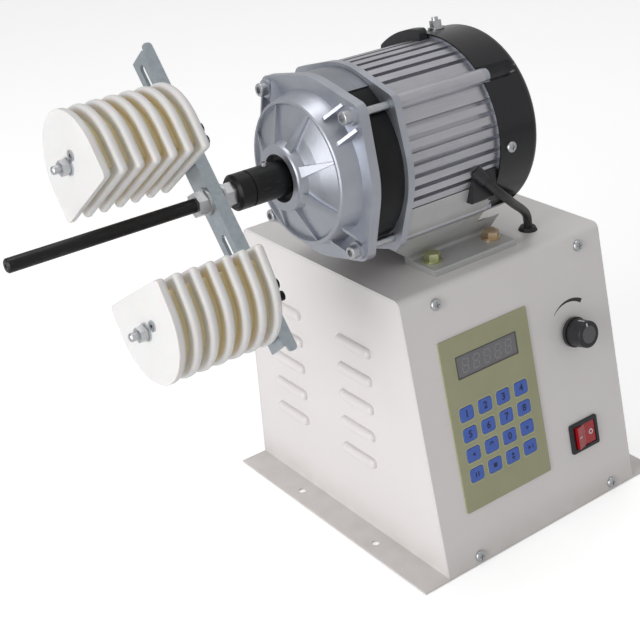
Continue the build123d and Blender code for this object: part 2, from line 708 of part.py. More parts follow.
# ---------------------------------------------------------------- gearbox and motor
def make_gearbox_cover():
    body = turned([
        (BOSS_FACE_X, 0), (BOSS_FACE_X, BOSS_R - 1), (BOSS_FACE_X + 1, BOSS_R),
        (-140.5, 26.5), (-137.0, 36.0), (-130.5, 50.0), (RIM_X, 51.5), (RIM_X, RIM_R - 1),
        (RIM_X + 1, RIM_R), (FLANGE_FRONT_X, RIM_R + 4.0), (FLANGE_FRONT_X, 0),
    ])
    body += prism(eared_outline(FLANGE_R, EAR_R), FLANGE_FRONT_X, FLANGE_BACK_X)
    rib = make_face(Polyline(
        (BOSS_FACE_X + 3, BOSS_R - 3), (BOSS_FACE_X + 3, BOSS_R + 0.5), (RIM_X + 0.8, RIB_TIP_R),
        (-126.0, RIB_TIP_R), (-134.0, BOSS_R - 3), close=True,
    ))
    spike = make_face(Polyline(
        (-RIB_FOOT_HALF, BOSS_R - 4), (RIB_FOOT_HALF, BOSS_R - 4),
        (RIB_TIP_HALF, RIB_TIP_R), (-RIB_TIP_HALF, RIB_TIP_R), close=True,
    ))
    rib = extrude(Plane.XZ * rib, RIB_FOOT_HALF, both=True) & extrude(Plane.YZ * spike, BOSS_FACE_X)
    for i in range(RIB_COUNT):
        body += Pos(0, 0, AXIS_Z) * Rot(360 / RIB_COUNT * (i + 0.5), 0, 0) * rib
    gusset = make_face(Polyline(
        (-128.0, CAVITY_R), (-128.0, 56.0), (FLANGE_FRONT_X - 2, TIE_R - 1),
        (FLANGE_FRONT_X + 1, TIE_R - 1), (FLANGE_FRONT_X + 1, CAVITY_R), close=True,
    ))
    gusset = extrude(Plane.XZ * gusset, GUSSET_T / 2, both=True)
    for angle in TIE_ANGLES:
        for offset in (-GUSSET_OFFSET, GUSSET_OFFSET):
            body += Pos(0, 0, AXIS_Z) * Rot(angle - 90, 0, 0) * Pos(0, offset, 0) * gusset
        y, z = polar(TIE_R, angle)
        body += along_x(FLANGE_FRONT_X - 3, FLANGE_BACK_X, EAR_R - 2, y, z)
    cavity = turned([
        (FLANGE_BACK_X + 1, 0), (FLANGE_BACK_X + 1, CAVITY_R), (-124.0, CAVITY_R), (-126.0, 47.0),
        (-132.0, 34.0), (-132.0, 22.5), (CARRIER_X[0] - 1.2, 22.5), (CARRIER_X[0] - 1.2, 0),
    ])
    body -= cavity
    body -= along_x(BOSS_FACE_X - 1, BOSS_FACE_X + 12, SEAL_R)
    body -= along_x(BOSS_FACE_X, CARRIER_X[0], 14.5)
    body -= along_x(BOSS_FACE_X + 13, CARRIER_X[0], BEARING_R + 0.01)
    for y, z in tie_spots():
        body -= along_x(FLANGE_FRONT_X - 9, FLANGE_BACK_X + 1, TIE_BOLT_D / 2 + 0.2, y, z)
    return body


def make_seal():
    end = BOSS_FACE_X + 12
    start = end - SEAL_W
    return along_x(start, end, SEAL_R - 0.02) - along_x(start - 1, end + 1, SHAFT_R + RUN_FIT)


def bearing(x0):
    x1 = x0 + BEARING_W
    ring = along_x(x0, x1, BEARING_R) - along_x(x0 - 1, x1 + 1, SHAFT_R + RUN_FIT)
    for x in (x0 - 0.01, x1 - 0.99):
        ring -= along_x(x, x + 1.0, 14.5) - along_x(x, x + 1.0, 10.0)
    return ring


def bearing_places():
    front = BOSS_FACE_X + 13
    return [front, front + BEARING_W + 1, PLATE_BACK_X + 1, SHELL_BACK_X - 6]


def make_bearings():
    return group(*[bearing(x) for x in bearing_places()])


def make_front_shield():
    plate = prism(eared_outline(PLATE_R, EAR_R), PLATE_FRONT_X, PLATE_BACK_X)
    plate += along_x(PLATE_BACK_X - 1, PLATE_BACK_X + 13, BEARING_R + 4.5)
    plate -= along_x(PLATE_FRONT_X - 1, PLATE_BACK_X + 14, SHAFT_R + 1)
    plate -= along_x(PLATE_BACK_X + 1, PLATE_BACK_X + 14, BEARING_R + 0.01)
    for y, z in tie_spots():
        plate -= along_x(PLATE_FRONT_X - 1, PLATE_BACK_X + 1, TIE_BOLT_D / 2 + 0.2, y, z)
    return plate


def fin_angles():
    """Grooves fill the top and both sides between the tie-bolt ribs."""
    count = int(60 / FIN_PITCH) + 1
    start = -(count - 1) / 2 * FIN_PITCH
    return [side + start + FIN_PITCH * i for side in (0, 90, 180) for i in range(count)]


def make_shell():
    shell = along_x(PLATE_BACK_X, SHELL_BACK_X, SHELL_R)
    length = SHELL_BACK_X - PLATE_BACK_X
    for y, z in tie_spots():
        shell += along_x(PLATE_BACK_X, SHELL_BACK_X, 6.0, y, z)
    groove = Box(length + 2, FIN_GROOVE_W, 2 * FIN_GROOVE_DEPTH)
    for angle in fin_angles():
        turn = Rot(angle - 90, 0, 0) * Pos(PLATE_BACK_X + length / 2, 0, SHELL_R)
        shell -= Pos(0, 0, AXIS_Z) * turn * groove
    shell -= along_x(PLATE_BACK_X - 1, SHELL_BACK_X + 1, SHELL_BORE_R)
    for y, z in tie_spots():
        shell -= along_x(PLATE_BACK_X - 1, SHELL_BACK_X + 1, TIE_BOLT_D / 2 + 0.1, y, z)
    return shell


def foot_outline():
    """One foot's cross-section on the +Y side, drawn from the motor axis."""
    ground = CAB_HEIGHT - AXIS_Z
    top_angle = radians(180 - WEB_TOP_ANGLE)
    shell_point = SHELL_R * cos(top_angle), SHELL_R * sin(top_angle)
    inner_y = WEB_Y - WEB_T
    inner_top = -sqrt(SHELL_R ** 2 - inner_y ** 2)
    outline = make_face(Polyline(
        (inner_y, ground), (FOOT_HALF_Y, ground), (FOOT_HALF_Y, ground + FOOT_T),
        (WEB_Y, ground + FOOT_T), (WEB_KNEE[0], -WEB_KNEE[1]), shell_point, (inner_y, inner_top),
        close=True,
    ))
    root = outline.vertices().sort_by_distance((WEB_Y, ground + FOOT_T, 0))[0]
    outline = fillet(root, FOOT_FILLET)
    knee = outline.vertices().sort_by_distance((WEB_KNEE[0], -WEB_KNEE[1], 0))[0]
    outline = fillet(knee, WEB_KNEE_R)
    lip = outline.vertices().sort_by_distance((FOOT_HALF_Y, ground + FOOT_T, 0))[0]
    return chamfer(lip, 1.0)


def make_feet():
    foot = prism(foot_outline(), PLATE_BACK_X, FOOT_X[1])
    rise_z = CAB_HEIGHT + WEB_FRONT_RISE
    start = Plane.XZ * make_face(Polyline(
        (PLATE_BACK_X - 1, CAB_HEIGHT - 1), (FOOT_X[0], CAB_HEIGHT - 1),
        (FOOT_X[0], CAB_HEIGHT + FOOT_T + 1), (PLATE_BACK_X, rise_z), (PLATE_BACK_X - 1, rise_z),
        close=True,
    ))
    foot -= extrude(start, -2 * FOOT_HALF_Y)
    foot -= along_x(PLATE_BACK_X - 1, FOOT_X[1] + 1, SHELL_R)
    foot -= along_x(COVER_FRONT_X - 0.5, FOOT_X[1] + 1, COVER_R + 0.3)
    foot -= along_x(SHELL_BACK_X - 0.01, FOOT_X[1] + 1, COVER_R + 6)
    for y, z in tie_spots():
        foot -= along_x(PLATE_BACK_X - 1, SHELL_BACK_X + 1, 6.0, y, z)
    hole = Cylinder(FOOT_BOLT_D / 2 + 0.3, FOOT_T + 2)
    for x in FOOT_BOLT_X:
        foot -= Pos(x, FOOT_BOLT_Y, CAB_HEIGHT + FOOT_T / 2) * hole
    return group(foot, mirror(foot, Plane.XZ))


def make_rear_shield():
    back = SHELL_BACK_X + REAR_SHIELD_T
    shield = along_x(SHELL_BACK_X, back, COVER_R - COVER_T - 0.05)
    for y, z in tie_spots():
        shield += along_x(SHELL_BACK_X, back, SHIELD_EAR_R, y, z)
    x0 = bearing_places()[-1]
    shield += along_x(x0 - 3, back + 3, BEARING_R + 4.5)
    shield -= along_x(x0 - 4, back + 4, SHAFT_R + 2)
    shield -= along_x(x0, back + 4, BEARING_R + 0.01)
    lug_out = COVER_R - COVER_T - 0.1
    for x, angle in cover_screw_places():
        lug = Pos((SHELL_BACK_X + x + 5) / 2, 0, (lug_out + 61) / 2)
        block = Box(x + 5 - SHELL_BACK_X, 11, lug_out - 61)
        lug = Pos(0, 0, AXIS_Z) * Rot(angle - 90, 0, 0) * lug * block
        shield += lug & along_x(SHELL_BACK_X, COVER_BACK_X, COVER_R - COVER_T - 0.05)
    for hole in fan_cover_holes(0.02):
        shield -= hole
    for y, z in tie_spots():
        shield -= along_x(SHELL_BACK_X - 1, back + 1, TIE_BOLT_D / 2 + 0.1, y, z)
    return shield


def make_fan_cover():
    outer = along_x(COVER_FRONT_X, COVER_BACK_X, COVER_R)
    outer = fillet(outer.faces().sort_by(Axis.X)[-1].edges(), 7.0)
    inner = along_x(COVER_FRONT_X - 1, COVER_BACK_X - COVER_T, COVER_R - COVER_T)
    inner = fillet(inner.faces().sort_by(Axis.X)[-1].edges(), 7.0 - COVER_T)
    wall_front = SHELL_BACK_X + REAR_SHIELD_T + 0.3
    lining_r = CHANNEL_R + COVER_T
    for y, z in tie_spots(CHANNEL_AT_R):
        end = Pos(CHANNEL_BACK_X, y, z)
        outer -= along_x(COVER_FRONT_X - 1, CHANNEL_BACK_X, CHANNEL_R, y, z) + end * Sphere(CHANNEL_R)
        inner -= along_x(wall_front, CHANNEL_BACK_X, lining_r, y, z) + end * Sphere(lining_r)
    cover = outer - inner
    slot = Pos(COVER_BACK_X, 0, 40) * Box(6, 4.2, 30)
    for i in range(24):
        cover -= Pos(0, 0, AXIS_Z) * Rot(15 * i, 0, 0) * slot
    for hole in fan_cover_holes(0.2):
        cover -= hole
    return cover


def tie_bolt(y, z):
    """A long socket screw from the gearbox cover into the rear shield."""
    head_x = FLANGE_FRONT_X - 3
    bolt = along_x(head_x, SHELL_BACK_X + REAR_SHIELD_T - 0.5, TIE_BOLT_D / 2, y, z)
    head = along_x(head_x - 6, head_x, 5.0, y, z)
    head = fillet(head.faces().sort_by(Axis.X)[0].edges(), 1.0)
    plane = Plane(origin=(head_x - 6, y, z), x_dir=(0, 1, 0), z_dir=(1, 0, 0))
    return bolt + head - extrude(plane * hexagon(5.0), 3.0)


def make_foot_bolts():
    bolts = []
    top = CAB_HEIGHT + FOOT_T
    for x in FOOT_BOLT_X:
        for y in (-FOOT_BOLT_Y, FOOT_BOLT_Y):
            washer = Pos(x, y, top) * Cylinder(7.5, 1.6, align=(Align.CENTER, Align.CENTER, Align.MIN))
            head = Pos(x, y, top + 1.6) * extrude(hexagon(FOOT_BOLT_AF), 5.5)
            head = chamfer(head.faces().sort_by(Axis.Z)[-1].edges(), 0.9)
            shank = Pos(x, y, top + 1.6) * Cylinder(
                FOOT_BOLT_D / 2, 20, align=(Align.CENTER, Align.CENTER, Align.MAX)
            )
            nut = Pos(x, y, CAB_HEIGHT - SHEET - 6.5) * extrude(hexagon(FOOT_BOLT_AF), 6.5)
            bolts.append(washer + head + shank + nut)
    return group(*bolts)


def make_stator_core():
    ring = Circle(SHELL_BORE_R - 0.05) - Circle(BACK_IRON_R)
    tooth_length = BACK_IRON_R - STATOR_BORE_R + 2
    tooth = Pos((STATOR_BORE_R + BACK_IRON_R) / 2, 0) * Rectangle(tooth_length, TOOTH_W)
    for i in range(STATOR_SLOTS):
        ring += Rot(0, 0, 360 / STATOR_SLOTS * i) * tooth
    return prism(ring - Circle(STATOR_BORE_R), *STATOR_X)


def make_windings():
    coils = []
    inner_r, outer_r = STATOR_BORE_R + 3.5, BACK_IRON_R - 1.0
    length = STATOR_X[1] - STATOR_X[0]
    for i in range(STATOR_SLOTS):
        outer = Box(length + 2 * COIL_T + 0.4, TOOTH_W + 2 * COIL_T + 0.2, outer_r - inner_r)
        outer = fillet(outer.edges().filter_by(Axis.Z), 3.0)
        coil = outer - Box(length + 0.2, TOOTH_W + 0.2, 40)
        turn = Rot(360 / STATOR_SLOTS * i - 90, 0, 0)
        place = turn * Pos(sum(STATOR_X) / 2, 0, (inner_r + outer_r) / 2)
        coils.append(Pos(0, 0, AXIS_Z) * place * coil)
    return group(*coils)


def make_rotor_shaft():
    shaft = along_x(GEAR_X[1] - 0.5, FAN_X[1] + 2, SHAFT_R)
    pinion = prism(spur_sketch(SUN_TEETH), GEAR_X[0] + 0.5, GEAR_X[1] - 0.5)
    return shaft + pinion


def make_rotor_core():
    core = along_x(*STATOR_X, STATOR_BORE_R - AIR_GAP)
    core -= along_x(STATOR_X[0] - 1, STATOR_X[1] + 1, SHAFT_R + 0.01)
    for i in range(8):
        y, z = polar(22, 45 * i)
        core -= along_x(STATOR_X[0] - 1, STATOR_X[1] + 1, 3.0, y, z)
    return core


def make_fan():
    hub = along_x(FAN_X[0], FAN_X[1], 12.0) + along_x(FAN_X[0], FAN_X[0] + 2.0, FAN_R)
    blade = box(FAN_X[0] + 1, FAN_X[1], -1.0, 1.0, 11.0, FAN_R - 1)
    for i in range(FAN_BLADES):
        hub += Pos(0, 0, AXIS_Z) * Rot(360 / FAN_BLADES * i, 0, 0) * blade
    return hub - along_x(FAN_X[0] - 1, FAN_X[1] + 1, SHAFT_R + 0.01)


def make_nameplate():
    low, high = 62, 117
    ring = Circle(RING_R + 1.0) - Circle(RING_R + 0.05)
    reach = 2 * RING_R
    corners = [(reach * cos(radians(a)), reach * sin(radians(a))) for a in (low, (low + high) / 2, high)]
    wedge = make_face(Polyline((0, 0), *corners, close=True))
    return prism(ring & wedge, FLANGE_BACK_X + 0.6, PLATE_FRONT_X - 0.4)


def make_terminal_box():
    low, high = TERMINAL_ANGLES
    ring = Circle(TERMINAL_R) - Circle(SHELL_R + 0.02)
    reach = 2 * TERMINAL_R
    corners = [(reach * cos(radians(a)), reach * sin(radians(a))) for a in (low, (low + high) / 2, high)]
    sector = ring & make_face(Polyline((0, 0), *corners, close=True))
    outer = sector.vertices().group_by(lambda v: round(hypot(v.X, v.Y)))[-1]
    case = prism(fillet(outer, 3.5), *TERMINAL_X)
    for y, z in tie_spots():
        case -= along_x(TERMINAL_X[0] - 1, TERMINAL_X[1] + 1, 6.2, y, z)
    return case


def make_gland():
    start = Vector(*LEAD_POINTS[0])
    heading = (Vector(*LEAD_POINTS[1]) - start).normalized()
    block = box(*GLAND_X, *GLAND_Y, *GLAND_Z)
    block = fillet(block.edges().filter_by(Axis.X), 2.5)
    nozzle = Plane(origin=start - heading * 12, z_dir=heading) * Cylinder(
        5.0, 12, align=(Align.CENTER, Align.CENTER, Align.MIN)
    )
    gland = block + nozzle - along_x(-40, 20, SHELL_R + 0.02)
    return gland - mirror(prism(foot_outline(), PLATE_BACK_X, FOOT_X[1]), Plane.XZ)


# ---------------------------------------------------------------- motor lead
def make_lead():
    points = [Vector(*p) for p in LEAD_POINTS]
    runs = [(b - a).length for a, b in zip(points, points[1:])]
    radii = []
    for i in range(1, len(points) - 1):
        turn = (points[i] - points[i - 1]).get_angle(points[i + 1] - points[i])
        radii.append(0.45 * min(runs[i - 1], runs[i]) / tan(radians(turn) / 2))
    print("lead runs", [round(r, 1) for r in runs], "radii", [round(r, 1) for r in radii])
    path = FilletPolyline(*points, radius=radii)
    start = Plane(origin=points[0], z_dir=points[1] - points[0])
    tube = sweep(start * Circle(LEAD_R), path=path)
    expected = pi * LEAD_R ** 2 * path.length
    print("lead volume", round(tube.volume, 1), "section times length", round(expected, 1))
    return tube


def make_grommet():
    x, y, end_z = LEAD_POINTS[-1]
    low = CAB_HEIGHT - SHEET
    standing = Align.CENTER, Align.CENTER, Align.MIN
    hanging = Align.CENTER, Align.CENTER, Align.MAX
    lip_height = end_z - CAB_HEIGHT - 0.5
    ring = Pos(0, 0, CAB_HEIGHT) * Cone(GROMMET_R, GROMMET_R - 1.6, lip_height, align=standing)
    ring += Pos(0, 0, low) * Cylinder(GROMMET_R - 2.0, SHEET, align=standing)
    ring += Pos(0, 0, low) * Cylinder(GROMMET_R, 2.5, align=hanging)
    collar = Pos(0, 0, low - 2) * Cylinder(LEAD_R, end_z - low + 2, align=standing)
    return Pos(x, y, 0) * (ring + collar)


# ---------------------------------------------------------------- spindle
def make_rod():
    rod = along_x(ROD_TIP_X, NUT_FRONT_X, ROD_R)
    rod = chamfer(rod.faces().sort_by(Axis.X)[0].edges(), ROD_TIP_CHAMFER)
    rod += along_x(NUT_FRONT_X, HUB_X[0] + 19, ROD_SEAT_R)
    centre = Pos(ROD_TIP_X, 0, AXIS_Z) * Rot(0, 90, 0) * Cone(2.2, 0.6, 4.0)
    return rod - centre


def make_hub():
    hub = along_x(*HUB_X, HUB_R)
    hub = chamfer(hub.faces().sort_by(Axis.X)[0].edges(), 2.0)
    ring_x = HUB_X[0] + 12.5
    hub -= along_x(ring_x, ring_x + 1.2, HUB_R + 1) - along_x(ring_x, ring_x + 1.2, HUB_R - 0.6)
    hub -= along_x(HUB_X[0] - 1, HUB_X[0] + 20, ROD_SEAT_R + 0.01)
    hub -= along_x(HUB_X[0] + 21.5, HUB_X[1] + 1, SHAFT_R + 0.01)
    screw_x = HUB_X[0] + 29
    hub -= Pos(screw_x, 0, AXIS_Z + 10) * Cylinder(2.5, 16)
    return hub


def nut_on_axis(x0, thick, across):
    return prism(hexagon(across) - Circle(ROD_SEAT_R + 0.01), x0, x0 + thick)


def ring_on_axis(x0, x1, radius):
    return along_x(x0, x1, radius) - along_x(x0 - 1, x1 + 1, ROD_SEAT_R + 0.01)


def make_spindle_nuts():
    back_washer = BAR_FRONT_X + BAR_LEG + 0.5
    lock_nut = back_washer + WASHER_T
    set_screw = Pos(HUB_X[0] + 29, 0, AXIS_Z) * Pos(0, 0, SHAFT_R + 0.05) * (
        Cylinder(2.45, 8.2, align=(Align.CENTER, Align.CENTER, Align.MIN))
        - Pos(0, 0, 6.4) * extrude(hexagon(2.5), 4.0)
    )
    return group(
        nut_on_axis(NUT_FRONT_X, NUT_T, NUT_AF),
        ring_on_axis(NUT_FRONT_X + NUT_T, BAR_FRONT_X, WASHER_R),
        ring_on_axis(BAR_BACK_X, back_washer, 7.3),
        ring_on_axis(back_washer, lock_nut, WASHER_R),
        nut_on_axis(lock_nut, HUB_X[0] - lock_nut, NUT_AF),
        set_screw,
    )


def make_cross_bar():
    web = Rectangle(2 * BAR_HALF, BAR_WIDTH) - Circle(ROD_SEAT_R + 0.2)
    slot_length = SLOT[1] - SLOT[0]
    for side in (-1, 1):
        web -= Pos(side * sum(SLOT) / 2, 0) * SlotOverall(slot_length, SLOT_W)
    bar = prism(web, BAR_FRONT_X, BAR_BACK_X, BAR_ANGLE)
    leg = Pos(0, BAR_WIDTH / 2 - BAR_LEG_T / 2) * Rectangle(2 * BAR_HALF, BAR_LEG_T)
    bar += prism(leg, BAR_FRONT_X, BAR_FRONT_X + BAR_LEG, BAR_ANGLE)
    tail = Pos(0, BAR_WIDTH / 2 - BAR_LEG_T / 2) * Rectangle(2 * BAR_LEG_HALF, BAR_LEG_T)
    tail = prism(tail, BAR_BACK_X, BAR_FRONT_X + BAR_LEG, BAR_ANGLE)
    corners = [e for e in tail.edges() if abs(e.length - BAR_LEG_T) < 0.01]
    return bar + fillet(corners, 3.0)


# ---------------------------------------------------------------- winding formers
def former_outline(inset):
    """A half-oval: flat inner edge at its own x = 0, round outer end."""
    half = FORMER_HALF_W - inset
    centre_x = FORMER_LENGTH - FORMER_HALF_W
    flat = Rectangle(centre_x - inset, 2 * half, align=(Align.MIN, Align.CENTER))
    outer_end = Circle(half) & Rectangle(half * 2, half * 2.2, align=(Align.MIN, Align.CENTER))
    outline = Pos(inset, 0) * flat + Pos(centre_x, 0) * outer_end
    corners = [v for v in outline.vertices() if v.X < inset + 0.1]
    return fillet(corners, FORMER_CORNER)


def former_place(side, bolt, turn):
    """Former axes across X: own x points away from the spindle through the bolt."""
    at = bolt * side
    angle = radians(BAR_ANGLE)
    y, z = at * cos(angle), AXIS_Z + at * sin(angle)
    heading = radians(BAR_ANGLE + turn + (0 if side > 0 else 180))
    return Plane(origin=(0, y, z), x_dir=(0, cos(heading), sin(heading)), z_dir=(1, 0, 0))


def make_former(side, bolt, turn, stop_at, pin_at):
    place = former_place(side, bolt, turn)
    blank = extrude(Pos(-BOLT_FROM_EDGE, 0) * former_outline(0), PLATE_T)
    full_round = PLATE_T / 2 - 0.4
    blank = fillet(blank.faces().sort_by(Axis.Z)[-1].outer_wire().edges(), full_round)
    front_rim = blank.faces().sort_by(Axis.Z)[0].outer_wire().edges()
    front_plate = fillet(front_rim, FORMER_FRONT_EDGE)
    plate = fillet(front_rim, full_round)
    middle = FORMER_FRONT_X + FORMER_STACK / 2
    hole = Pos(0, 0, middle) * Cylinder(FORMER_BOLT_D / 2 + 0.1, FORMER_STACK + 2)
    stop = Rot(0, 0, -turn) * Pos(stop_at, 0, 0) * hole
    pin_hole = Pos(*pin_at, FORMER_FRONT_X) * Cylinder(HOLLOW_PIN_R + 0.05, 3 * HOLLOW_PIN_LENGTH)
    core = extrude(Pos(-BOLT_FROM_EDGE, 0) * former_outline(GROOVE_DEPTH), GROOVE_W)
    solids = []
    for i in range(FORMER_PLATES):
        x = FORMER_FRONT_X + i * (PLATE_T + GROOVE_W)
        piece = Pos(0, 0, x) * (front_plate if i == 0 else plate) - hole
        if i == 0:
            piece -= pin_hole
        if i >= FORMER_PLATES - 2:
            piece -= stop
        solids.append(place * piece)
        if i < FORMER_PLATES - 1:
            spacer = Pos(0, 0, x + PLATE_T) * core - hole
            if i == 0:
                spacer -= pin_hole
            if i == FORMER_PLATES - 2:
                spacer -= stop
            solids.append(place * spacer)
    return group(*solids)


def on_bolt(x0, radius, length):
    """A round piece on a former's bolt axis, standing from x0."""
    return Pos(0, 0, x0) * Cylinder(radius, length, align=(Align.CENTER, Align.CENTER, Align.MIN))


def make_former_bolts(side, bolt, turn, stop_at, pin_at):
    place = former_place(side, bolt, turn)
    along_bar = former_place(side, bolt, 0)
    front = FORMER_FRONT_X
    bolt_r = FORMER_BOLT_D / 2
    head_x = BAR_BACK_X + REAR_WASHER[1]
    tail_x = head_x + BOLT_HEAD_T
    shank = on_bolt(front - BOLT_STUB, bolt_r, head_x - front + BOLT_STUB)
    main = chamfer(shank.faces().sort_by(Axis.Z)[0].edges(), 0.8)
    main += Pos(0, 0, head_x) * extrude(hexagon(FORMER_BOLT_AF), BOLT_HEAD_T)
    main += on_bolt(tail_x, BOLT_TAIL_R, BOLT_TAIL_X - tail_x)
    main += on_bolt(BAR_BACK_X, *REAR_WASHER)
    bore = on_bolt(front - BOLT_STUB, bolt_r + 0.01, BOLT_STUB)
    washer_x = front - FRONT_WASHER[1]
    lock_x = washer_x - LOCK_WASHER[1]
    washer = on_bolt(washer_x, *FRONT_WASHER) - bore
    lock = on_bolt(lock_x, *LOCK_WASHER) - bore
    nut = Pos(0, 0, lock_x - BOLT_NUT_T) * extrude(hexagon(FORMER_BOLT_AF), BOLT_NUT_T) - bore
    stop = on_bolt(BAR_BACK_X + STOP_PROUD - STOP_LENGTH, bolt_r, STOP_LENGTH)
    stop += on_bolt(BAR_BACK_X, STOP_HEAD_R, BOLT_TAIL_X - BAR_BACK_X)
    head_r, head_t = HOLLOW_PIN_HEAD
    pin = on_bolt(front - head_t, head_r, head_t) + on_bolt(front, HOLLOW_PIN_R, HOLLOW_PIN_LENGTH)
    pin -= on_bolt(front - head_t - 1, HOLLOW_PIN_BORE_R, head_t + HOLLOW_PIN_LENGTH / 2)
    placed = [along_bar * Pos(stop_at, 0, 0) * stop, place * Pos(*pin_at, 0) * pin]
    return group(along_bar * main, along_bar * nut, along_bar * lock, along_bar * washer, *placed)


# ---------------------------------------------------------------- write the pieces
def all_pieces():
    former_a = 1, FORMER_A_BOLT, FORMER_A_TURN, FORMER_A_STOP, FORMER_A_PIN
    former_b = -1, FORMER_B_BOLT, FORMER_B_TURN, FORMER_B_STOP, FORMER_B_PIN
    pieces = {
        "chassis": make_chassis(),
        "cover": make_cover(),
        "machine_screws": make_machine_screws(),
        "keypad_overlay": make_overlay(),
        "display_module": make_display(),
        "control_board": make_board(),
        "potentiometer": make_potentiometer(),
        "speed_knob": make_knob(),
        "switch_body": make_switch_body(),
        "switch_rocker": make_rocker(),
        "power_inlet": make_inlet(),
        "motor_driver": make_driver(),
        "motor_shell": make_shell(),
        "motor_front_shield": make_front_shield(),
        "ring_gear": make_ring_gear(),
        "gearbox_cover": make_gearbox_cover(),
        "motor_feet": make_feet(),
        "ball_bearings": make_bearings(),
        "oil_seal": make_seal(),
        "stator_core": make_stator_core(),
        "stator_windings": make_windings(),
        "rear_shield": make_rear_shield(),
        "fan_cover": make_fan_cover(),
        "foot_bolts": make_foot_bolts(),
        "blank_nameplate": make_nameplate(),
        "terminal_box": make_terminal_box(),
        "lead_gland": make_gland(),
        "motor_lead": make_lead(),
        "cable_grommet": make_grommet(),
        "planet_carrier": make_carrier(),
        "spindle_hub": make_hub(),
        "spindle_rod": make_rod(),
        "spindle_nuts": make_spindle_nuts(),
        "cross_bar": make_cross_bar(),
        "rotor_shaft": make_rotor_shaft(),
        "rotor_core": make_rotor_core(),
        "cooling_fan": make_fan(),
        "former_a": make_former(*former_a),
        "former_a_bolts": make_former_bolts(*former_a),
        "former_b": make_former(*former_b),
        "former_b_bolts": make_former_bolts(*former_b),
    }
    for i, angle in enumerate(planet_angles(), 1):
        pieces[f"planet_gear_{i}"] = make_planet(angle)
    for i, (x, v) in enumerate(key_places(), 1):
        pieces[f"key_{i:02d}"] = make_key(x, v)
    return pieces


os.makedirs("parts", exist_ok=True)
for name, shape in all_pieces().items():
    export_step(shape, f"parts/{name}.step")
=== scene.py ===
import math

import bmesh
import bpy
from mathutils import Matrix, Vector


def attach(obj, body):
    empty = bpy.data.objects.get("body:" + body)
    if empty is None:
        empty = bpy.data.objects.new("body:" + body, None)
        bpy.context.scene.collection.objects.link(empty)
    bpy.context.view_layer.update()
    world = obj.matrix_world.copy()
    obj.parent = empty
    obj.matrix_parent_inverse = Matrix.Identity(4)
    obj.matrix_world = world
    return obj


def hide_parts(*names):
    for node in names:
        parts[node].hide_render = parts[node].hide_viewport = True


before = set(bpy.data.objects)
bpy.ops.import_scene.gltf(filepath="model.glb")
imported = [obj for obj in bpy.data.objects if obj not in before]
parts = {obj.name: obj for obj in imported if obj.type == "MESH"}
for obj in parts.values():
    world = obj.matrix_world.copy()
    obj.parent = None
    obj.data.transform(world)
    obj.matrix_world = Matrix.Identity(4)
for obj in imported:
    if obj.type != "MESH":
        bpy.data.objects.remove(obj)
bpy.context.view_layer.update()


# ---- Camera -------------------------------------------------------------------------
# The machine is seen from the front left and a little above, with the spindle towards
# the viewer's left, as it stands on a bench.
look_at = Vector((-0.1506, -0.0420, 0.2129))
camera_azimuth = math.radians(-35.04)
camera_height = math.radians(26.71)
camera_roll = math.radians(-4.28)
camera_distance = 0.9345


def add_object(name, data):
    """A new object in the scene that holds the given data."""
    made = bpy.data.objects.new(name, data)
    bpy.context.collection.objects.link(made)
    return made


towards_camera = Vector((
    math.sin(camera_azimuth) * math.cos(camera_height),
    -math.cos(camera_azimuth) * math.cos(camera_height),
    math.sin(camera_height),
))
level = Vector((math.cos(camera_azimuth), math.sin(camera_azimuth), 0))
upright = towards_camera.cross(level)
frame_x = level * math.cos(camera_roll) + upright * math.sin(camera_roll)
frame_y = upright * math.cos(camera_roll) - level * math.sin(camera_roll)
camera = add_object("camera", bpy.data.cameras.new("camera"))
turn = Matrix((frame_x, frame_y, towards_camera)).transposed().to_4x4()
camera.matrix_world = Matrix.Translation(look_at + towards_camera * camera_distance) @ turn
camera.data.lens = 72.07
camera.data.sensor_width = 36
camera.data.clip_start = 0.05
bpy.context.scene.camera = camera


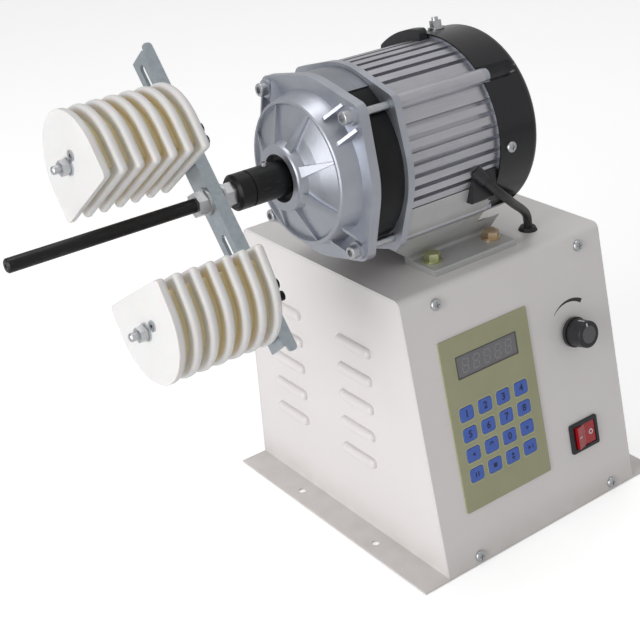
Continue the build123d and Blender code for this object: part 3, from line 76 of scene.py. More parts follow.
# ---- Motor lead ---------------------------------------------------------------------
# A short round black lead in a rubber sheath. It leaves the gland on the motor's lower
# front corner, bends down and enters the grommet in the cabinet's top.
class Wire:
    """A shader socket that takes part in Python arithmetic."""

    def __init__(self, tree, socket=None):
        self.tree, self.socket = tree, socket

    def node(self, kind, inputs=(), out=0, **settings):
        """Makes and sets one shader node, feeds its sockets and gives back one output."""
        made = self.tree.nodes.new("ShaderNode" + kind)
        for key, value in settings.items():
            setattr(made, key, value)
        for key, value in dict(inputs).items():
            self.feed(made.inputs[key], value)
        return Wire(self.tree, made.outputs[out])

    def feed(self, socket, value):
        if isinstance(value, Wire):
            self.tree.links.new(value.socket, socket)
        else:
            socket.default_value = value

    def math(self, operation, *values):
        return self.node("Math", dict(enumerate(values)), operation=operation)

    def __add__(self, other):
        return self.math("ADD", self, other)

    __radd__ = __add__

    def __sub__(self, other):
        return self.math("SUBTRACT", self, other)

    def __rsub__(self, other):
        return self.math("SUBTRACT", other, self)

    def __mul__(self, other):
        return self.math("MULTIPLY", self, other)

    __rmul__ = __mul__

    def __truediv__(self, other):
        return self.math("DIVIDE", self, other)

    def __gt__(self, other):
        return self.math("GREATER_THAN", self, other)

    def __lt__(self, other):
        return self.math("LESS_THAN", self, other)

    def step(self, low, high):
        """0 below low, 1 above high, and smooth between them."""
        return self.node("MapRange", {0: self, 1: low, 2: high}, interpolation_type="SMOOTHSTEP")

    def place(self):
        """The point on the surface, in metres, in the machine's own frame."""
        return self.node("TexCoord", out=3)

    def stretch(self, x, y, z):
        return self.node("Mapping", {0: self.place(), 3: (x, y, z)})

    def siblings(self, *names):
        """Wires from the named outputs of the node that this one comes from."""
        outputs = self.socket.node.outputs
        return [Wire(self.tree, outputs[name]) for name in names]

    def axes(self):
        """The three coordinates of the point on the surface, in metres."""
        return self.node("SeparateXYZ", {0: self.place()}).siblings("X", "Y", "Z")

    def grain(self, size, depth=3.0, along=(1, 1, 1)):
        """Cloudy variation from 0 to 1, with features of about that size in metres."""
        return self.node("TexNoise", {0: self.stretch(*along), "Scale": 1 / size, "Detail": depth})

    def ripple(self, pitch):
        """Even waves from 0 to 1 along this coordinate, with a pitch in metres."""
        return self.math("SINE", self * (2 * math.pi / pitch)) * 0.5 + 0.5

    def blend(self, amount, one, other):
        return self.node("Mix", {0: amount, 6: one, 7: other}, out=2, data_type="RGBA")

    def relief(self, height, depth, strength=1.0):
        """A bump from a height between 0 and 1, depth in metres."""
        return self.node("Bump", {"Height": height, "Distance": depth, "Strength": strength})


def finish(name, steady=()):
    """A new material with its shader's even values set.

    Gives the material, a wire in its tree and the shader's sockets.
    """
    material = bpy.data.materials.new(name)
    material.use_nodes = True
    shader = material.node_tree.nodes["Principled BSDF"]
    for key, value in dict(steady).items():
        shader.inputs[key].default_value = value
    return material, Wire(material.node_tree), shader.inputs


def dress(material, *names):
    """Gives CAD nodes a finish in every one of their material slots."""
    for name in names:
        for slot in parts[name].material_slots:
            slot.material = material


def rgb(red, green, blue):
    return red, green, blue, 1.0


lead_points = [
    (-0.0140, -0.0732, 0.2910),
    (-0.0080, -0.0785, 0.2830),
    (0.0060, -0.0755, 0.2715),
    (0.0220, -0.0665, 0.2600),
    (0.0380, -0.0575, 0.2495),
    (0.0520, -0.0495, 0.2390),
    (0.0560, -0.0475, 0.2310),
    (0.0560, -0.0475, 0.2265),
]
lead_width = 0.007
lead_line = bpy.data.curves.new("motor_lead_sheath", "CURVE")
lead_line.dimensions = "3D"
lead_line.bevel_depth = lead_width / 2
lead_line.bevel_resolution = 6
lead_line.resolution_u = 24
lead_line.use_fill_caps = True
spline = lead_line.splines.new("NURBS")
spline.points.add(len(lead_points) - 1)
for spot, point in zip(spline.points, lead_points):
    spot.co = (*point, 1)
spline.order_u = 3
spline.use_endpoint_u = True
lead = add_object("motor_lead_sheath", lead_line)

rubber, w, skin = finish("lead_rubber", {"Specular IOR Level": 0.4})
cloud = w.grain(0.006)
w.feed(skin["Base Color"], w.blend(cloud, rgb(0.012, 0.012, 0.013), rgb(0.035, 0.034, 0.034)))
w.feed(skin["Roughness"], 0.34 + 0.2 * cloud)
w.feed(skin["Normal"], w.relief(w.grain(0.0009), 0.00006))
lead.data.materials.append(rubber)
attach(lead, "machine")
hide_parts("motor_lead")


# ---- Cabinet ------------------------------------------------------------------------
# A bent steel cover over a base with two louvred sides. Everything is powder coated in
# a warm light cream, with the slight orange peel that such a coat has.
enamel, w, skin = finish("cream_powder_coat", {"Coat Roughness": 0.25, "Specular IOR Level": 0.45})
darkening_height = 0.03
high = w.axes()[2]
cloud = w.grain(0.09)
speck = w.grain(0.0011, 2.0)
# The coat goes darker and browner, in patches, over its lowest 3 cm towards the bottom.
bottom_darkening = (1 - high.step(0.0, darkening_height)) * w.grain(0.02) * 0.5
clean = w.blend(cloud, rgb(0.735, 0.705, 0.70), rgb(0.785, 0.755, 0.75))
w.feed(skin["Base Color"], w.blend(bottom_darkening, clean, rgb(0.45, 0.41, 0.36)))
w.feed(skin["Roughness"], 0.34 + 0.12 * cloud)
w.feed(skin["Coat Weight"], 0.2)
w.feed(skin["Normal"], w.relief(speck, 0.00005, 0.6))
dress(enamel, "chassis", "cover")

# The machine's screws are bright zinc, a little uneven in tone and gloss.
bright_zinc, w, skin = finish("bright_zinc", {"Metallic": 1.0})
cloud = w.grain(0.002)
w.feed(skin["Base Color"], w.blend(cloud, rgb(0.42, 0.43, 0.45), rgb(0.66, 0.67, 0.68)))
w.feed(skin["Roughness"], 0.22 + 0.25 * w.grain(0.0008))
w.feed(skin["Normal"], w.relief(w.grain(0.0004), 0.00004, 0.7))
dress(bright_zinc, "machine_screws")


# ---- Operator panel -----------------------------------------------------------------
# A printed film keypad in an olive grey-green, with sixteen blue keys and a window for
# a five-digit display. It is stuck to the sloping front of the cover.
cabinet_depth, cabinet_height, set_back = 0.252, 0.223, 0.049
slope = math.hypot(cabinet_height, set_back)
panel_x = Vector((1, 0, 0))
panel_up = Vector((0, set_back / slope, cabinet_height / slope))
panel_out = Vector((0, -cabinet_height / slope, set_back / slope))
panel_corner = Vector((0, -cabinet_depth / 2, 0))
panel_turn = Matrix((panel_x, panel_up, panel_out)).transposed().to_4x4()


def on_panel(x, up, out):
    """The transform of a place on the sloping panel, from millimetres."""
    spot = panel_corner + panel_x * x / 1000 + panel_up * up / 1000 + panel_out * out / 1000
    return Matrix.Translation(spot) @ panel_turn


film, w, skin = finish("keypad_film", {"Specular IOR Level": 0.4})
cloud = w.grain(0.03)
w.feed(skin["Base Color"], w.blend(cloud, rgb(0.335, 0.335, 0.205), rgb(0.40, 0.395, 0.255)))
w.feed(skin["Roughness"], 0.42 + 0.1 * cloud)
w.feed(skin["Normal"], w.relief(w.grain(0.0005), 0.00003, 0.5))
dress(film, "keypad_overlay")


def flat_piece(name, loops, place, material, body):
    """A flat printed shape in one material that rides on a body.

    Each loop is a closed outline in millimetres, or a pair of outer and inner outlines.
    """
    mesh = bpy.data.meshes.new(name)
    shape = bmesh.new()

    def corners(outline):
        return [shape.verts.new((x / 1000, y / 1000, 0)) for x, y in outline]

    for loop in loops:
        if isinstance(loop, tuple):
            outer, inner = corners(loop[0]), corners(loop[1])
            for i in range(len(outer)):
                k = (i + 1) % len(outer)
                shape.faces.new((outer[i], outer[k], inner[k], inner[i]))
        else:
            shape.faces.new(corners(loop))
    bmesh.ops.recalc_face_normals(shape, faces=shape.faces)
    for face in shape.faces:
        if face.normal.z < 0:
            face.normal_flip()
    shape.to_mesh(mesh)
    shape.free()
    mesh.transform(place)
    mesh.materials.append(material)
    piece = add_object(name, mesh)
    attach(piece, body)


def rounded(width, height, corner, steps=5):
    """A rectangle's outline with rounded corners, in millimetres."""
    points = []
    for quarter, (sx, sy) in enumerate(((1, 1), (-1, 1), (-1, -1), (1, -1))):
        for i in range(steps + 1):
            a = math.pi / 2 * (quarter + i / steps)
            points.append((sx * (width / 2 - corner) + corner * math.cos(a),
                           sy * (height / 2 - corner) + corner * math.sin(a)))
    return points


def ink(name, roughness, size, dark, light):
    """A printed colour with a faint mottle of about that size in metres."""
    material, w, skin = finish(name, {"Roughness": roughness})
    w.feed(skin["Base Color"], w.blend(w.grain(size), rgb(*dark), rgb(*light)))
    return material


pale_ink = ink("pale_green_ink", 0.45, 0.004, (0.40, 0.44, 0.27), (0.50, 0.53, 0.34))
navy_ink = ink("navy_ink", 0.5, 0.002, (0.006, 0.010, 0.06), (0.012, 0.018, 0.09))

key_finish, w, skin = finish("blue_key", {"Specular IOR Level": 0.4})
cloud = w.grain(0.004)
w.feed(skin["Base Color"], w.blend(cloud, rgb(0.055, 0.115, 0.46), rgb(0.085, 0.165, 0.56)))
w.feed(skin["Roughness"], 0.38 + 0.12 * cloud)
w.feed(skin["Normal"], w.relief(w.grain(0.0006), 0.00002, 0.5))
first_key_x, first_key_up, key_step_x, key_step_up = -61.7, 124.6, 19.2, 16.9
key_width, key_height, key_top = 13.4, 11.2, 1.7
key_digit_size, key_digit_boldness = 0.0080, 0.00022
# For the outer and the inner outline of a key's ring: how much wider it is than the key,
# and the radius of its corners.
ring_outlines = ((2.6, 3.2), (1.2, 2.6))
# How far out of the panel each print lies, and a sign above its key, in millimetres.
ring_out, rim_out, segments_out, above_key = 1.23, 1.24, 1.03, 0.02


def arrow(cx, cy, quarters):
    """A small triangular arrow's outline, turned by quarter turns."""
    a = quarters * math.pi / 2
    return [(cx + x * math.cos(a) - y * math.sin(a), cy + x * math.sin(a) + y * math.cos(a))
            for x, y in ((-1.7, -1.3), (1.7, -1.3), (0, 1.7))]


def bar(cx, cy, width, height):
    """An upright rectangle's outline round its middle, in millimetres."""
    return [(cx - width / 2, cy - height / 2), (cx + width / 2, cy - height / 2),
            (cx + width / 2, cy + height / 2), (cx - width / 2, cy + height / 2)]


# Ten keys carry digits and the other six plain signs: arrows, a square, a bar and two
# bars, all printed in navy. Each sign rides on its own key.
digits = {1: "1", 2: "2", 3: "3", 4: "4", 5: "5", 6: "6", 7: "7", 8: "8", 10: "9", 11: "0"}
signs = {
    9: [arrow(0, 0, 1)],
    12: [arrow(0, 0, 3)],
    13: [bar(-1.3, 0, 1.2, 4.0), bar(1.3, 0, 1.2, 4.0)],
    14: [bar(0, 0, 3.6, 3.6)],
    15: [arrow(0, 1.8, 0), arrow(0, -1.8, 2)],
    16: [arrow(-1.2, 0, 3), bar(2.4, 0, 1.0, 3.6)],
}
for number in range(1, 17):
    row, column = divmod(number - 1, 4)
    x = first_key_x + key_step_x * column
    up = first_key_up - key_step_up * row
    body = f"key_{number:02d}"
    dress(key_finish, body)
    ring = tuple(rounded(key_width + wider, key_height + wider, corner)
                 for wider, corner in ring_outlines)
    flat_piece(f"key_ring_{number:02d}", [ring], on_panel(x, up, ring_out), pale_ink,
               "machine")
    sign_place = on_panel(x, up, key_top + above_key)
    if number in digits:
        words = bpy.data.curves.new(f"key_digit_{number:02d}", "FONT")
        words.body = digits[number]
        words.size, words.offset = key_digit_size, key_digit_boldness
        words.align_x, words.align_y = "CENTER", "CENTER"
        words.materials.append(navy_ink)
        sign = add_object(f"key_digit_{number:02d}", words)
        sign.matrix_world = sign_place
        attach(sign, body)
    else:
        flat_piece(f"key_sign_{number:02d}", signs[number], sign_place, navy_ink, body)

# The display is a grey window over five unlit seven-bar digits.
window_x, window_up = -32.15, 161.9
lens, w, skin = finish("display_window", {"Specular IOR Level": 0.6})
cloud = w.grain(0.02)
w.feed(skin["Base Color"], w.blend(cloud, rgb(0.135, 0.13, 0.14), rgb(0.19, 0.185, 0.195)))
w.feed(skin["Roughness"], 0.16 + 0.08 * cloud)
w.feed(skin["Coat Weight"], 0.35)
dress(lens, "display_module")

unlit = ink("unlit_segments", 0.3, 0.003, (0.22, 0.22, 0.23), (0.27, 0.27, 0.28))
first_digit_x, digit_step, digit_lean = -22.4, 11.2, 0.12
# The seven bars of a digit: each one's middle, width and height, in millimetres.
digit_bars = (
    (0, 5.2, 4.6, 1.1), (0, 0, 4.6, 1.1), (0, -5.2, 4.6, 1.1),
    (-2.9, 2.6, 1.1, 4.0), (2.9, 2.6, 1.1, 4.0), (-2.9, -2.6, 1.1, 4.0), (2.9, -2.6, 1.1, 4.0),
)
segments = []
for digit in range(5):
    cx = first_digit_x + digit_step * digit
    for sx, sy, width, height in digit_bars:
        segments.append(bar(cx + sx + digit_lean * sy, sy, width, height))
flat_piece("display_segments", segments, on_panel(window_x, window_up, segments_out), unlit,
           "machine")
window_rim = (rounded(63.4, 18.6, 0.6), rounded(61.6, 16.8, 0.4))
shade = ink("window_rim_ink", 0.4, 0.01, (0.05, 0.05, 0.045), (0.09, 0.09, 0.08))
flat_piece("window_rim", [window_rim], on_panel(window_x, window_up, rim_out), shade,
           "machine")


# ---- Speed knob ---------------------------------------------------------------------
# A moulded black knob with a fluted grip, a satin disc and a white pointer line, over a
# tapered arc printed on the panel that shows which way is faster.
black_moulding, w, skin = finish("black_moulding", {"Specular IOR Level": 0.5})
cloud = w.grain(0.004)
w.feed(skin["Base Color"], w.blend(cloud, rgb(0.010, 0.010, 0.012), rgb(0.022, 0.022, 0.026)))
w.feed(skin["Roughness"], 0.26 + 0.18 * cloud)
w.feed(skin["Normal"], w.relief(w.grain(0.0006), 0.00004, 0.6))
knob_x, knob_up, knob_top = 59.3, 150.0, 19.5
dress(black_moulding, "speed_knob")

white_ink = ink("white_ink", 0.45, 0.002, (0.72, 0.72, 0.72), (0.80, 0.80, 0.80))
satin_disc, w, skin = finish("satin_disc", {"Metallic": 0.7})
rings = w.node("TexNoise", {0: w.place(), "Scale": 900.0, "Detail": 2.0})
w.feed(skin["Base Color"], w.blend(rings, rgb(0.10, 0.10, 0.11), rgb(0.17, 0.17, 0.18)))
w.feed(skin["Roughness"], 0.3 + 0.15 * rings)


def circle(cx, cy, radius, count=48):
    """A circle's outline, in millimetres."""
    angles = [2 * math.pi * i / count for i in range(count)]
    return [(cx + radius * math.cos(a), cy + radius * math.sin(a)) for a in angles]


print_out, disc_radius = 0.03, 7.2
pointer_turn = Matrix.Rotation(math.radians(7.5), 4, "Z")
above_disc = Matrix.Translation((0, 0, 0.00002))
knob_place = on_panel(knob_x, knob_up, knob_top + print_out) @ pointer_turn
flat_piece("knob_disc", [circle(0, 0, disc_radius)], knob_place, satin_disc, "knob")
flat_piece("knob_pointer", [bar(0, 8.5, 1.3, 2.8)], knob_place @ above_disc, white_ink,
           "knob")
# The pointer line goes on down the grip's slightly tapered side, between two flutes.
grip_narrowing, grip_height = 0.6, 17.0
side_line_radius, side_line_below_top = 0.01133, 0.0073
grip_taper = math.atan2(grip_narrowing, grip_height)
line_middle = Matrix.Translation((0, side_line_radius, -side_line_below_top))
line_place = knob_place @ line_middle @ Matrix.Rotation(-math.pi / 2 - grip_taper, 4, "X")
flat_piece("knob_pointer_side", [bar(0, 0, 1.1, 11.0)], line_place, white_ink, "knob")

arc_ink = ink("black_ink", 0.5, 0.003, (0.012, 0.012, 0.012), (0.03, 0.03, 0.03))
arc_radius, arc_start, arc_sweep, arc_steps = 24.5, 132, 78, 24
arc_thin_end, arc_growth = 0.25, 3.4
outer, inner = [], []
for i in range(arc_steps + 1):
    t = i / arc_steps
    a = math.radians(arc_start - arc_sweep * t)
    outer_radius = arc_radius + arc_thin_end + arc_growth * t
    outer.append((outer_radius * math.cos(a), outer_radius * math.sin(a)))
    inner.append((arc_radius * math.cos(a), arc_radius * math.sin(a)))
flat_piece("speed_arc", [outer + inner[::-1]], on_panel(knob_x, knob_up, print_out), arc_ink,
           "machine")


# ---- Power switch -------------------------------------------------------------------
# A snap-in rocker switch: black bezel, glossy red rocker with a white bar and ring.
red_rocker, w, skin = finish("red_rocker", {"Specular IOR Level": 0.55})
cloud = w.grain(0.01)
w.feed(skin["Base Color"], w.blend(cloud, rgb(0.36, 0.008, 0.014), rgb(0.46, 0.014, 0.022)))
w.feed(skin["Roughness"], 0.18 + 0.08 * cloud)
w.feed(skin["Coat Weight"], 0.3)
dress(red_rocker, "switch_rocker")
dress(black_moulding, "switch_body")
switch_x, switch_up, pivot_out, tilt = 55.9, 60.7, -3.0, math.radians(9.0)
rocker_place = on_panel(switch_x, switch_up, pivot_out) @ Matrix.Rotation(tilt, 4, "Y")
rocker_rise, rocker_half = 6.2, 11.1
mark_along, mark_lift = 0.52, 0.05
rocker_bar = [bar(-1.5, 0, 4.2, 1.0)]
rocker_ring = [(circle(0.8, 0, 2.3, 32), circle(0.8, 0, 1.4, 32))]
# Each half of the rocker's top falls towards the middle, and the marks lie on that slope.
drop = math.tan(tilt) * rocker_half
fall = math.atan2(drop, rocker_half)
mark_out = rocker_rise - drop * (1 - mark_along) + mark_lift
for side, loops, name in ((-1, rocker_bar, "rocker_bar"), (1, rocker_ring, "rocker_ring")):
    middle = Vector((side * rocker_half * mark_along / 1000, 0, mark_out / 1000))
    tip = Matrix.Translation(middle) @ Matrix.Rotation(-side * fall, 4, "Y")
    flat_piece(name, loops, rocker_place @ tip, white_ink, "rocker")


# ---- Inside the cabinet -------------------------------------------------------------
# A green control board, a steel-cased potentiometer and a ribbed aluminium motor drive,
# with a black mains inlet in the rear wall.
board, w, skin = finish("green_solder_mask", {"Specular IOR Level": 0.5})
tracks = w.grain(0.004, 1.0).step(0.45, 0.55)
w.feed(skin["Base Color"], w.blend(tracks, rgb(0.012, 0.09, 0.035), rgb(0.03, 0.16, 0.06)))
w.feed(skin["Roughness"], 0.3 + 0.1 * tracks)
dress(board, "control_board")
can, w, skin = finish("potentiometer_can", {"Metallic": 0.9})
cloud = w.grain(0.003)
w.feed(skin["Base Color"], w.blend(cloud, rgb(0.40, 0.40, 0.40), rgb(0.55, 0.55, 0.55)))
w.feed(skin["Roughness"], 0.3 + 0.2 * cloud)
dress(can, "potentiometer")
bare, w, skin = finish("bare_aluminium", {"Metallic": 0.9})
cloud = w.grain(0.004, along=(0.1, 1, 1))
w.feed(skin["Base Color"], w.blend(cloud, rgb(0.38, 0.39, 0.40), rgb(0.52, 0.53, 0.55)))
w.feed(skin["Roughness"], 0.35 + 0.2 * cloud)
dress(bare, "motor_driver")
inlet_black, w, skin = finish("inlet_thermoplastic", {"Specular IOR Level": 0.4})
cloud = w.grain(0.005)
w.feed(skin["Base Color"], w.blend(cloud, rgb(0.014, 0.014, 0.014), rgb(0.03, 0.03, 0.03)))
w.feed(skin["Roughness"], 0.42 + 0.15 * cloud)
w.feed(skin["Normal"], w.relief(w.grain(0.0007), 0.00005, 0.7))
dress(inlet_black, "power_inlet")


# ---- Gearbox casting ----------------------------------------------------------------
# The output cover is a die casting in silver lacquer: a dished face with cast ribs, a
# boss for the seal and four lugs for the long through-bolts.
silver, w, skin = finish("silver_lacquered_casting", {"Metallic": 0.9, "Specular IOR Level": 0.5})
cloud = w.grain(0.02)
sand = w.grain(0.0010, 4.0)
w.feed(skin["Base Color"], w.blend(cloud, rgb(0.40, 0.42, 0.47), rgb(0.53, 0.55, 0.60)))
w.feed(skin["Roughness"], 0.29 + 0.14 * cloud + 0.08 * sand)
w.feed(skin["Normal"], w.relief(sand, 0.00012, 0.8))
dress(silver, "gearbox_cover", "motor_front_shield", "rear_shield")

# The finned shell is a bare extrusion, drawn along its length and slightly oxidised.
extruded, w, skin = finish("extruded_aluminium", {"Metallic": 0.85})
drawn = w.grain(0.0009, 3.0, along=(0.04, 1, 1))
cloud = w.grain(0.03)
streaks = drawn * 0.6 + cloud * 0.4
w.feed(skin["Base Color"], w.blend(streaks, rgb(0.40, 0.40, 0.43), rgb(0.66, 0.66, 0.70)))
w.feed(skin["Roughness"], 0.26 + 0.20 * drawn)
w.feed(skin["Normal"], w.relief(drawn, 0.00008, 0.8))
dress(extruded, "motor_shell")

# The feet under it are in the same silver lacquer as the castings, worn a little duller.
foot_lacquer, w, skin = finish("foot_lacquer", {"Metallic": 0.3, "Specular IOR Level": 0.5})
cloud = w.grain(0.02)
drawn = w.grain(0.0012, 3.0, along=(0.08, 1, 1))
w.feed(skin["Base Color"], w.blend(cloud, rgb(0.44, 0.445, 0.445), rgb(0.55, 0.555, 0.55)))
w.feed(skin["Roughness"], 0.42 + 0.14 * drawn)
w.feed(skin["Normal"], w.relief(drawn, 0.00006, 0.6))
dress(foot_lacquer, "motor_feet")

# The ring gear's rim between them is blackened steel, and the blank nameplate is a
# thin satin strip bent over it.
black_oxide, w, skin = finish("black_oxide", {"Metallic": 0.3, "Specular IOR Level": 0.3})
cloud = w.grain(0.012)
w.feed(skin["Base Color"], w.blend(cloud, rgb(0.006, 0.006, 0.007), rgb(0.014, 0.014, 0.016)))
w.feed(skin["Roughness"], 0.3 + 0.2 * cloud)
w.feed(skin["Normal"], w.relief(w.grain(0.0012, along=(1, 0.1, 0.1)), 0.00004, 0.6))
dress(black_oxide, "ring_gear")
satin_plate, w, skin = finish("satin_plate", {"Metallic": 0.85})
brushed = w.grain(0.0006, 3.0, along=(1, 0.06, 0.06))
w.feed(skin["Base Color"], w.blend(brushed, rgb(0.24, 0.255, 0.29), rgb(0.36, 0.375, 0.41)))
w.feed(skin["Roughness"], 0.26 + 0.2 * brushed)
dress(satin_plate, "blank_nameplate")


# ---- Former bolts and foot bolts ----------------------------------------------------
# The formers' M6 bolts are bright zinc, with painted shade, near black, on their part behind
# the bar. The feet are held by M8 hex bolts in yellow zinc: straw to green, and redder towards the
# fan.
thread_pitch, bar_web, redder_from = 0.001, -0.2085, -0.02
former_bolt, w, skin = finish("zinc_thread", {"Metallic": 1.0})
across = w.axes()[0]
thread = across.ripple(thread_pitch)
cloud = w.grain(0.003)
# Painted shade: past the bar's web the bolts are coloured near black.
shaded_behind_bar = across > bar_web
zinc = w.blend(cloud, rgb(0.42, 0.43, 0.45), rgb(0.64, 0.65, 0.67))
w.feed(skin["Base Color"], w.blend(shaded_behind_bar, zinc, rgb(0.02, 0.02, 0.022)))
w.feed(skin["Roughness"], 0.24 + 0.2 * cloud)
w.feed(skin["Normal"], w.relief(thread, 0.00012, 0.35))
dress(former_bolt, "former_a_bolts", "former_b_bolts")
yellow, w, skin = finish("yellow_zinc", {"Metallic": 1.0})
cloud = w.grain(0.005, 2.0)
across = w.axes()[0]
tint = w.blend(cloud.step(0.35, 0.65), rgb(0.60, 0.55, 0.26), rgb(0.50, 0.58, 0.32))
tint = w.blend((across > redder_from) * 0.7, tint, rgb(0.72, 0.46, 0.34))
w.feed(skin["Base Color"], w.blend(w.grain(0.002) * 0.4, tint, rgb(0.78, 0.70, 0.48)))
w.feed(skin["Roughness"], 0.22 + 0.2 * cloud)
w.feed(skin["Normal"], w.relief(w.grain(0.0006), 0.00004, 0.6))
dress(yellow, "foot_bolts")


# ---- Fan cover, terminal box, gland and grommet -------------------------------------
# The pressed fan cover is in gloss black enamel; the terminal box, the gland block and
# the grommet are black mouldings.
gloss_black, w, skin = finish("gloss_black_enamel",
                              {"Specular IOR Level": 0.35, "Coat Roughness": 0.1})
cloud = w.grain(0.03)
w.feed(skin["Base Color"], w.blend(cloud, rgb(0.006, 0.006, 0.008), rgb(0.013, 0.013, 0.016)))
w.feed(skin["Roughness"], 0.20 + 0.10 * cloud)
w.feed(skin["Coat Weight"], 0.15)
w.feed(skin["Normal"], w.relief(w.grain(0.004), 0.00015, 0.4))
dress(gloss_black, "fan_cover")
dress(black_moulding, "terminal_box", "lead_gland")
grommet_rubber, w, skin = finish("grommet_rubber", {"Specular IOR Level": 0.35})
cloud = w.grain(0.003)
w.feed(skin["Base Color"], w.blend(cloud, rgb(0.012, 0.012, 0.012), rgb(0.03, 0.03, 0.03)))
w.feed(skin["Roughness"], 0.45 + 0.2 * cloud)
dress(grommet_rubber, "cable_grommet", "oil_seal")


# ---- Gears, bearings and rotor ------------------------------------------------------
# Inside the castings: hobbed steel gears in grease, ball bearings, the laminated stator
# with copper coils, the rotor and its fan.
ground, w, skin = finish("ground_steel", {"Metallic": 1.0})
cloud = w.grain(0.003, along=(0.2, 1, 1))
w.feed(skin["Base Color"], w.blend(cloud, rgb(0.42, 0.42, 0.43), rgb(0.58, 0.58, 0.59)))
w.feed(skin["Roughness"], 0.22 + 0.18 * cloud)
dress(ground, "planet_gear_1", "planet_gear_2", "planet_gear_3", "planet_carrier",
      "rotor_shaft", "ball_bearings")
stack, w, skin = finish("lamination_stack", {"Metallic": 0.8})
sheet_pitch = 0.0005
sheets = w.axes()[0].ripple(sheet_pitch)
w.feed(skin["Base Color"], w.blend(sheets, rgb(0.16, 0.16, 0.17), rgb(0.30, 0.30, 0.32)))
w.feed(skin["Roughness"], 0.35 + 0.15 * sheets)
dress(stack, "stator_core", "rotor_core")
copper, w, skin = finish("varnished_copper", {"Metallic": 0.85})
turns = w.grain(0.0009, 2.0, along=(0.2, 1, 1))
w.feed(skin["Base Color"], w.blend(turns, rgb(0.42, 0.14, 0.05), rgb(0.66, 0.28, 0.11)))
w.feed(skin["Roughness"], 0.25 + 0.2 * turns)
w.feed(skin["Normal"], w.relief(turns, 0.0003))
dress(copper, "stator_windings")
dress(inlet_black, "cooling_fan")


# ---- Spindle ------------------------------------------------------------------------
# A blackened steel coupling is pinned to the gearbox shaft and holds the long black rod.
# Zinc nuts and washers clamp the slotted angle bar across it.
blacked, w, skin = finish("blackened_steel", {"Metallic": 0.3, "Specular IOR Level": 0.4})
cloud = w.grain(0.008)
scratch = w.grain(0.0008, 3.0, along=(0.08, 1, 1)).step(0.62, 0.72)
w.feed(skin["Base Color"], w.blend(scratch * 0.3, rgb(0.010, 0.010, 0.011), rgb(0.09, 0.09, 0.09)))
w.feed(skin["Roughness"], 0.30 + 0.2 * cloud)
w.feed(skin["Normal"], w.relief(w.grain(0.0012), 0.00005, 0.6))
dress(blacked, "spindle_hub", "spindle_rod")
dress(bright_zinc, "spindle_nuts")
plated, w, skin = finish("zinc_plated_bar", {"Metallic": 0.85})
spangle = w.grain(0.004, 2.0)
rolled = w.grain(0.0008, 3.0, along=(1, 0.2, 0.2))
w.feed(skin["Base Color"], w.blend(spangle, rgb(0.34, 0.39, 0.43), rgb(0.50, 0.55, 0.58)))
w.feed(skin["Roughness"], 0.28 + 0.22 * spangle)
w.feed(skin["Normal"], w.relief(rolled, 0.00006, 0.7))
dress(plated, "cross_bar")


# ---- Winding formers ----------------------------------------------------------------
# Two stacks of seven white nylon plates with smaller spacers between them, so that six
# grooves hold the wire. The nylon is slightly see-through, and the grooves carry a painted
# yellowish shade.
bar_angle = math.radians(50.3)
axis_height = 0.311
plate, groove, stack_front, stack_back = 0.0064, 0.0062, -0.292, -0.210
former_half, former_length, bolt_from_edge = 0.043, 0.065, 0.027
pitch = plate + groove
groove_from = plate / pitch - 0.03
first_wall, last_wall = stack_front + plate * 0.9, stack_back - plate * 0.95
groove_shade_starts, groove_shade_full = 0.0005, 0.0075
for name, side, bolt_at, turned in (("former_a", 1, 0.0524, 2.1), ("former_b", -1, 0.0714, 8.1)):
    nylon, w, skin = finish(name + "_nylon", {"Subsurface Weight": 0.25, "Subsurface Scale": 0.004,
                                              "Specular IOR Level": 0.4})
    across, deep, high = w.axes()
    heading = bar_angle + math.radians(turned) + (0 if side > 0 else math.pi)
    bolt_y = side * bolt_at * math.cos(bar_angle)
    bolt_z = axis_height + side * bolt_at * math.sin(bar_angle)
    from_bolt, over_bolt = deep - bolt_y, high - bolt_z
    along = from_bolt * math.cos(heading) + over_bolt * math.sin(heading) + bolt_from_edge
    aside = over_bolt * math.cos(heading) - from_bolt * math.sin(heading)
    beyond = w.math("MAXIMUM", along - (former_length - former_half), 0.0)
    reach = w.math("SQRT", beyond * beyond + aside * aside)
    inset = w.math("MINIMUM", former_half - reach, along)
    phase = w.math("FRACT", (across - stack_front) / pitch)
    in_groove = (phase > groove_from) * (across > first_wall) * (across < last_wall)
    deepness = inset.step(groove_shade_starts, groove_shade_full)
    cloud = w.grain(0.025)
    white = w.blend(cloud, rgb(0.73, 0.725, 0.72), rgb(0.77, 0.765, 0.76))
    # Painted shade: a yellowish darkening in the grooves, growing in from the plates' outlines.
    groove_shade_tint = in_groove * deepness * (0.6 + 0.4 * cloud)
    w.feed(skin["Base Color"], w.blend(groove_shade_tint, white, rgb(0.82, 0.67, 0.36)))
    w.feed(skin["Roughness"], 0.36 + 0.14 * w.grain(0.003))
    w.feed(skin["Normal"], w.relief(w.grain(0.0015), 0.00006, 0.6))
    dress(nylon, name)


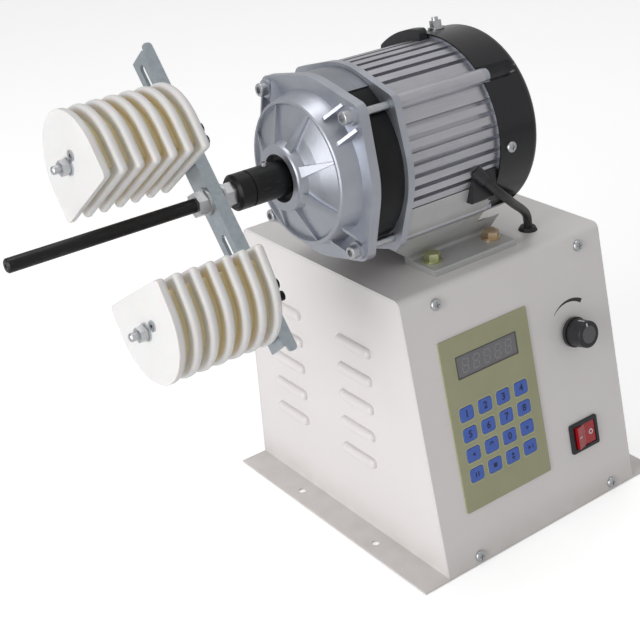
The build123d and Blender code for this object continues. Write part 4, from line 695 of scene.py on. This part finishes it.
# ---- Room and light -----------------------------------------------------------------
# A plain pale floor, a broad soft lamp from the left as from a window with a weak low one
# beside it, a soft lamp from above, and even light from all round.
floor_half, floor_top = 6, -0.0004
floor_corners = [(x * floor_half, y * floor_half, floor_top)
                 for x, y in ((-1, -1), (1, -1), (1, 1), (-1, 1))]
floor_mesh = bpy.data.meshes.new("floor")
floor_mesh.from_pydata(floor_corners, [], [(0, 1, 2, 3)])
floor = add_object("floor", floor_mesh)
paper, w, skin = finish("pale_floor", {"Roughness": 0.8, "Specular IOR Level": 0.1,
                                       "Emission Strength": 1.0})
w.feed(skin["Base Color"], w.blend(w.grain(0.5), rgb(0.86, 0.86, 0.86), rgb(0.87, 0.87, 0.87)))
seen, clear = w.node("LightPath").siblings("Is Camera Ray", "Is Transmission Ray")
direct = w.math("MAXIMUM", seen, clear)
w.feed(skin["Emission Color"], w.blend(direct, rgb(0, 0, 0), rgb(0.42, 0.42, 0.42)))
floor.data.materials.append(paper)

world = bpy.data.worlds.new("studio")
bpy.context.scene.world = world
world.use_nodes = True
sky = Wire(world.node_tree)
rays = sky.node("LightPath")
seen, gloss, clear = rays.siblings("Is Camera Ray", "Is Glossy Ray", "Is Transmission Ray")
shown = sky.math("MINIMUM", seen + gloss * 0.25 + clear, 1.0)
backdrop = world.node_tree.nodes["Background"]
backdrop.inputs["Color"].default_value = (1, 1, 1, 1)
sky.feed(backdrop.inputs["Strength"], 0.45 + 0.55 * shown)


def lamp(name, spot, aim, power, width, height):
    """A rectangular lamp at a spot, turned towards a point; power in watts, sizes in metres."""
    light = bpy.data.lights.new(name, "AREA")
    light.shape = "RECTANGLE"
    light.energy, light.size, light.size_y = power, width, height
    holder = add_object(name, light)
    holder.location = spot
    holder.rotation_euler = (Vector(aim) - Vector(spot)).to_track_quat("-Z", "Y").to_euler()


lamp("window_light", (-2.2, -0.35, 0.88), (-0.05, 0, 0.2), 24, 1.3, 1.1)
lamp("low_fill", (-1.6, -0.55, 0.12), (-0.1, 0.05, 0.0), 3.0, 0.9, 0.2)
lamp("top_light", (0.1, 0.5, 2.3), (0, 0, 0.25), 9, 1.2, 0.6)

bpy.context.scene.view_settings.view_transform = "Standard"
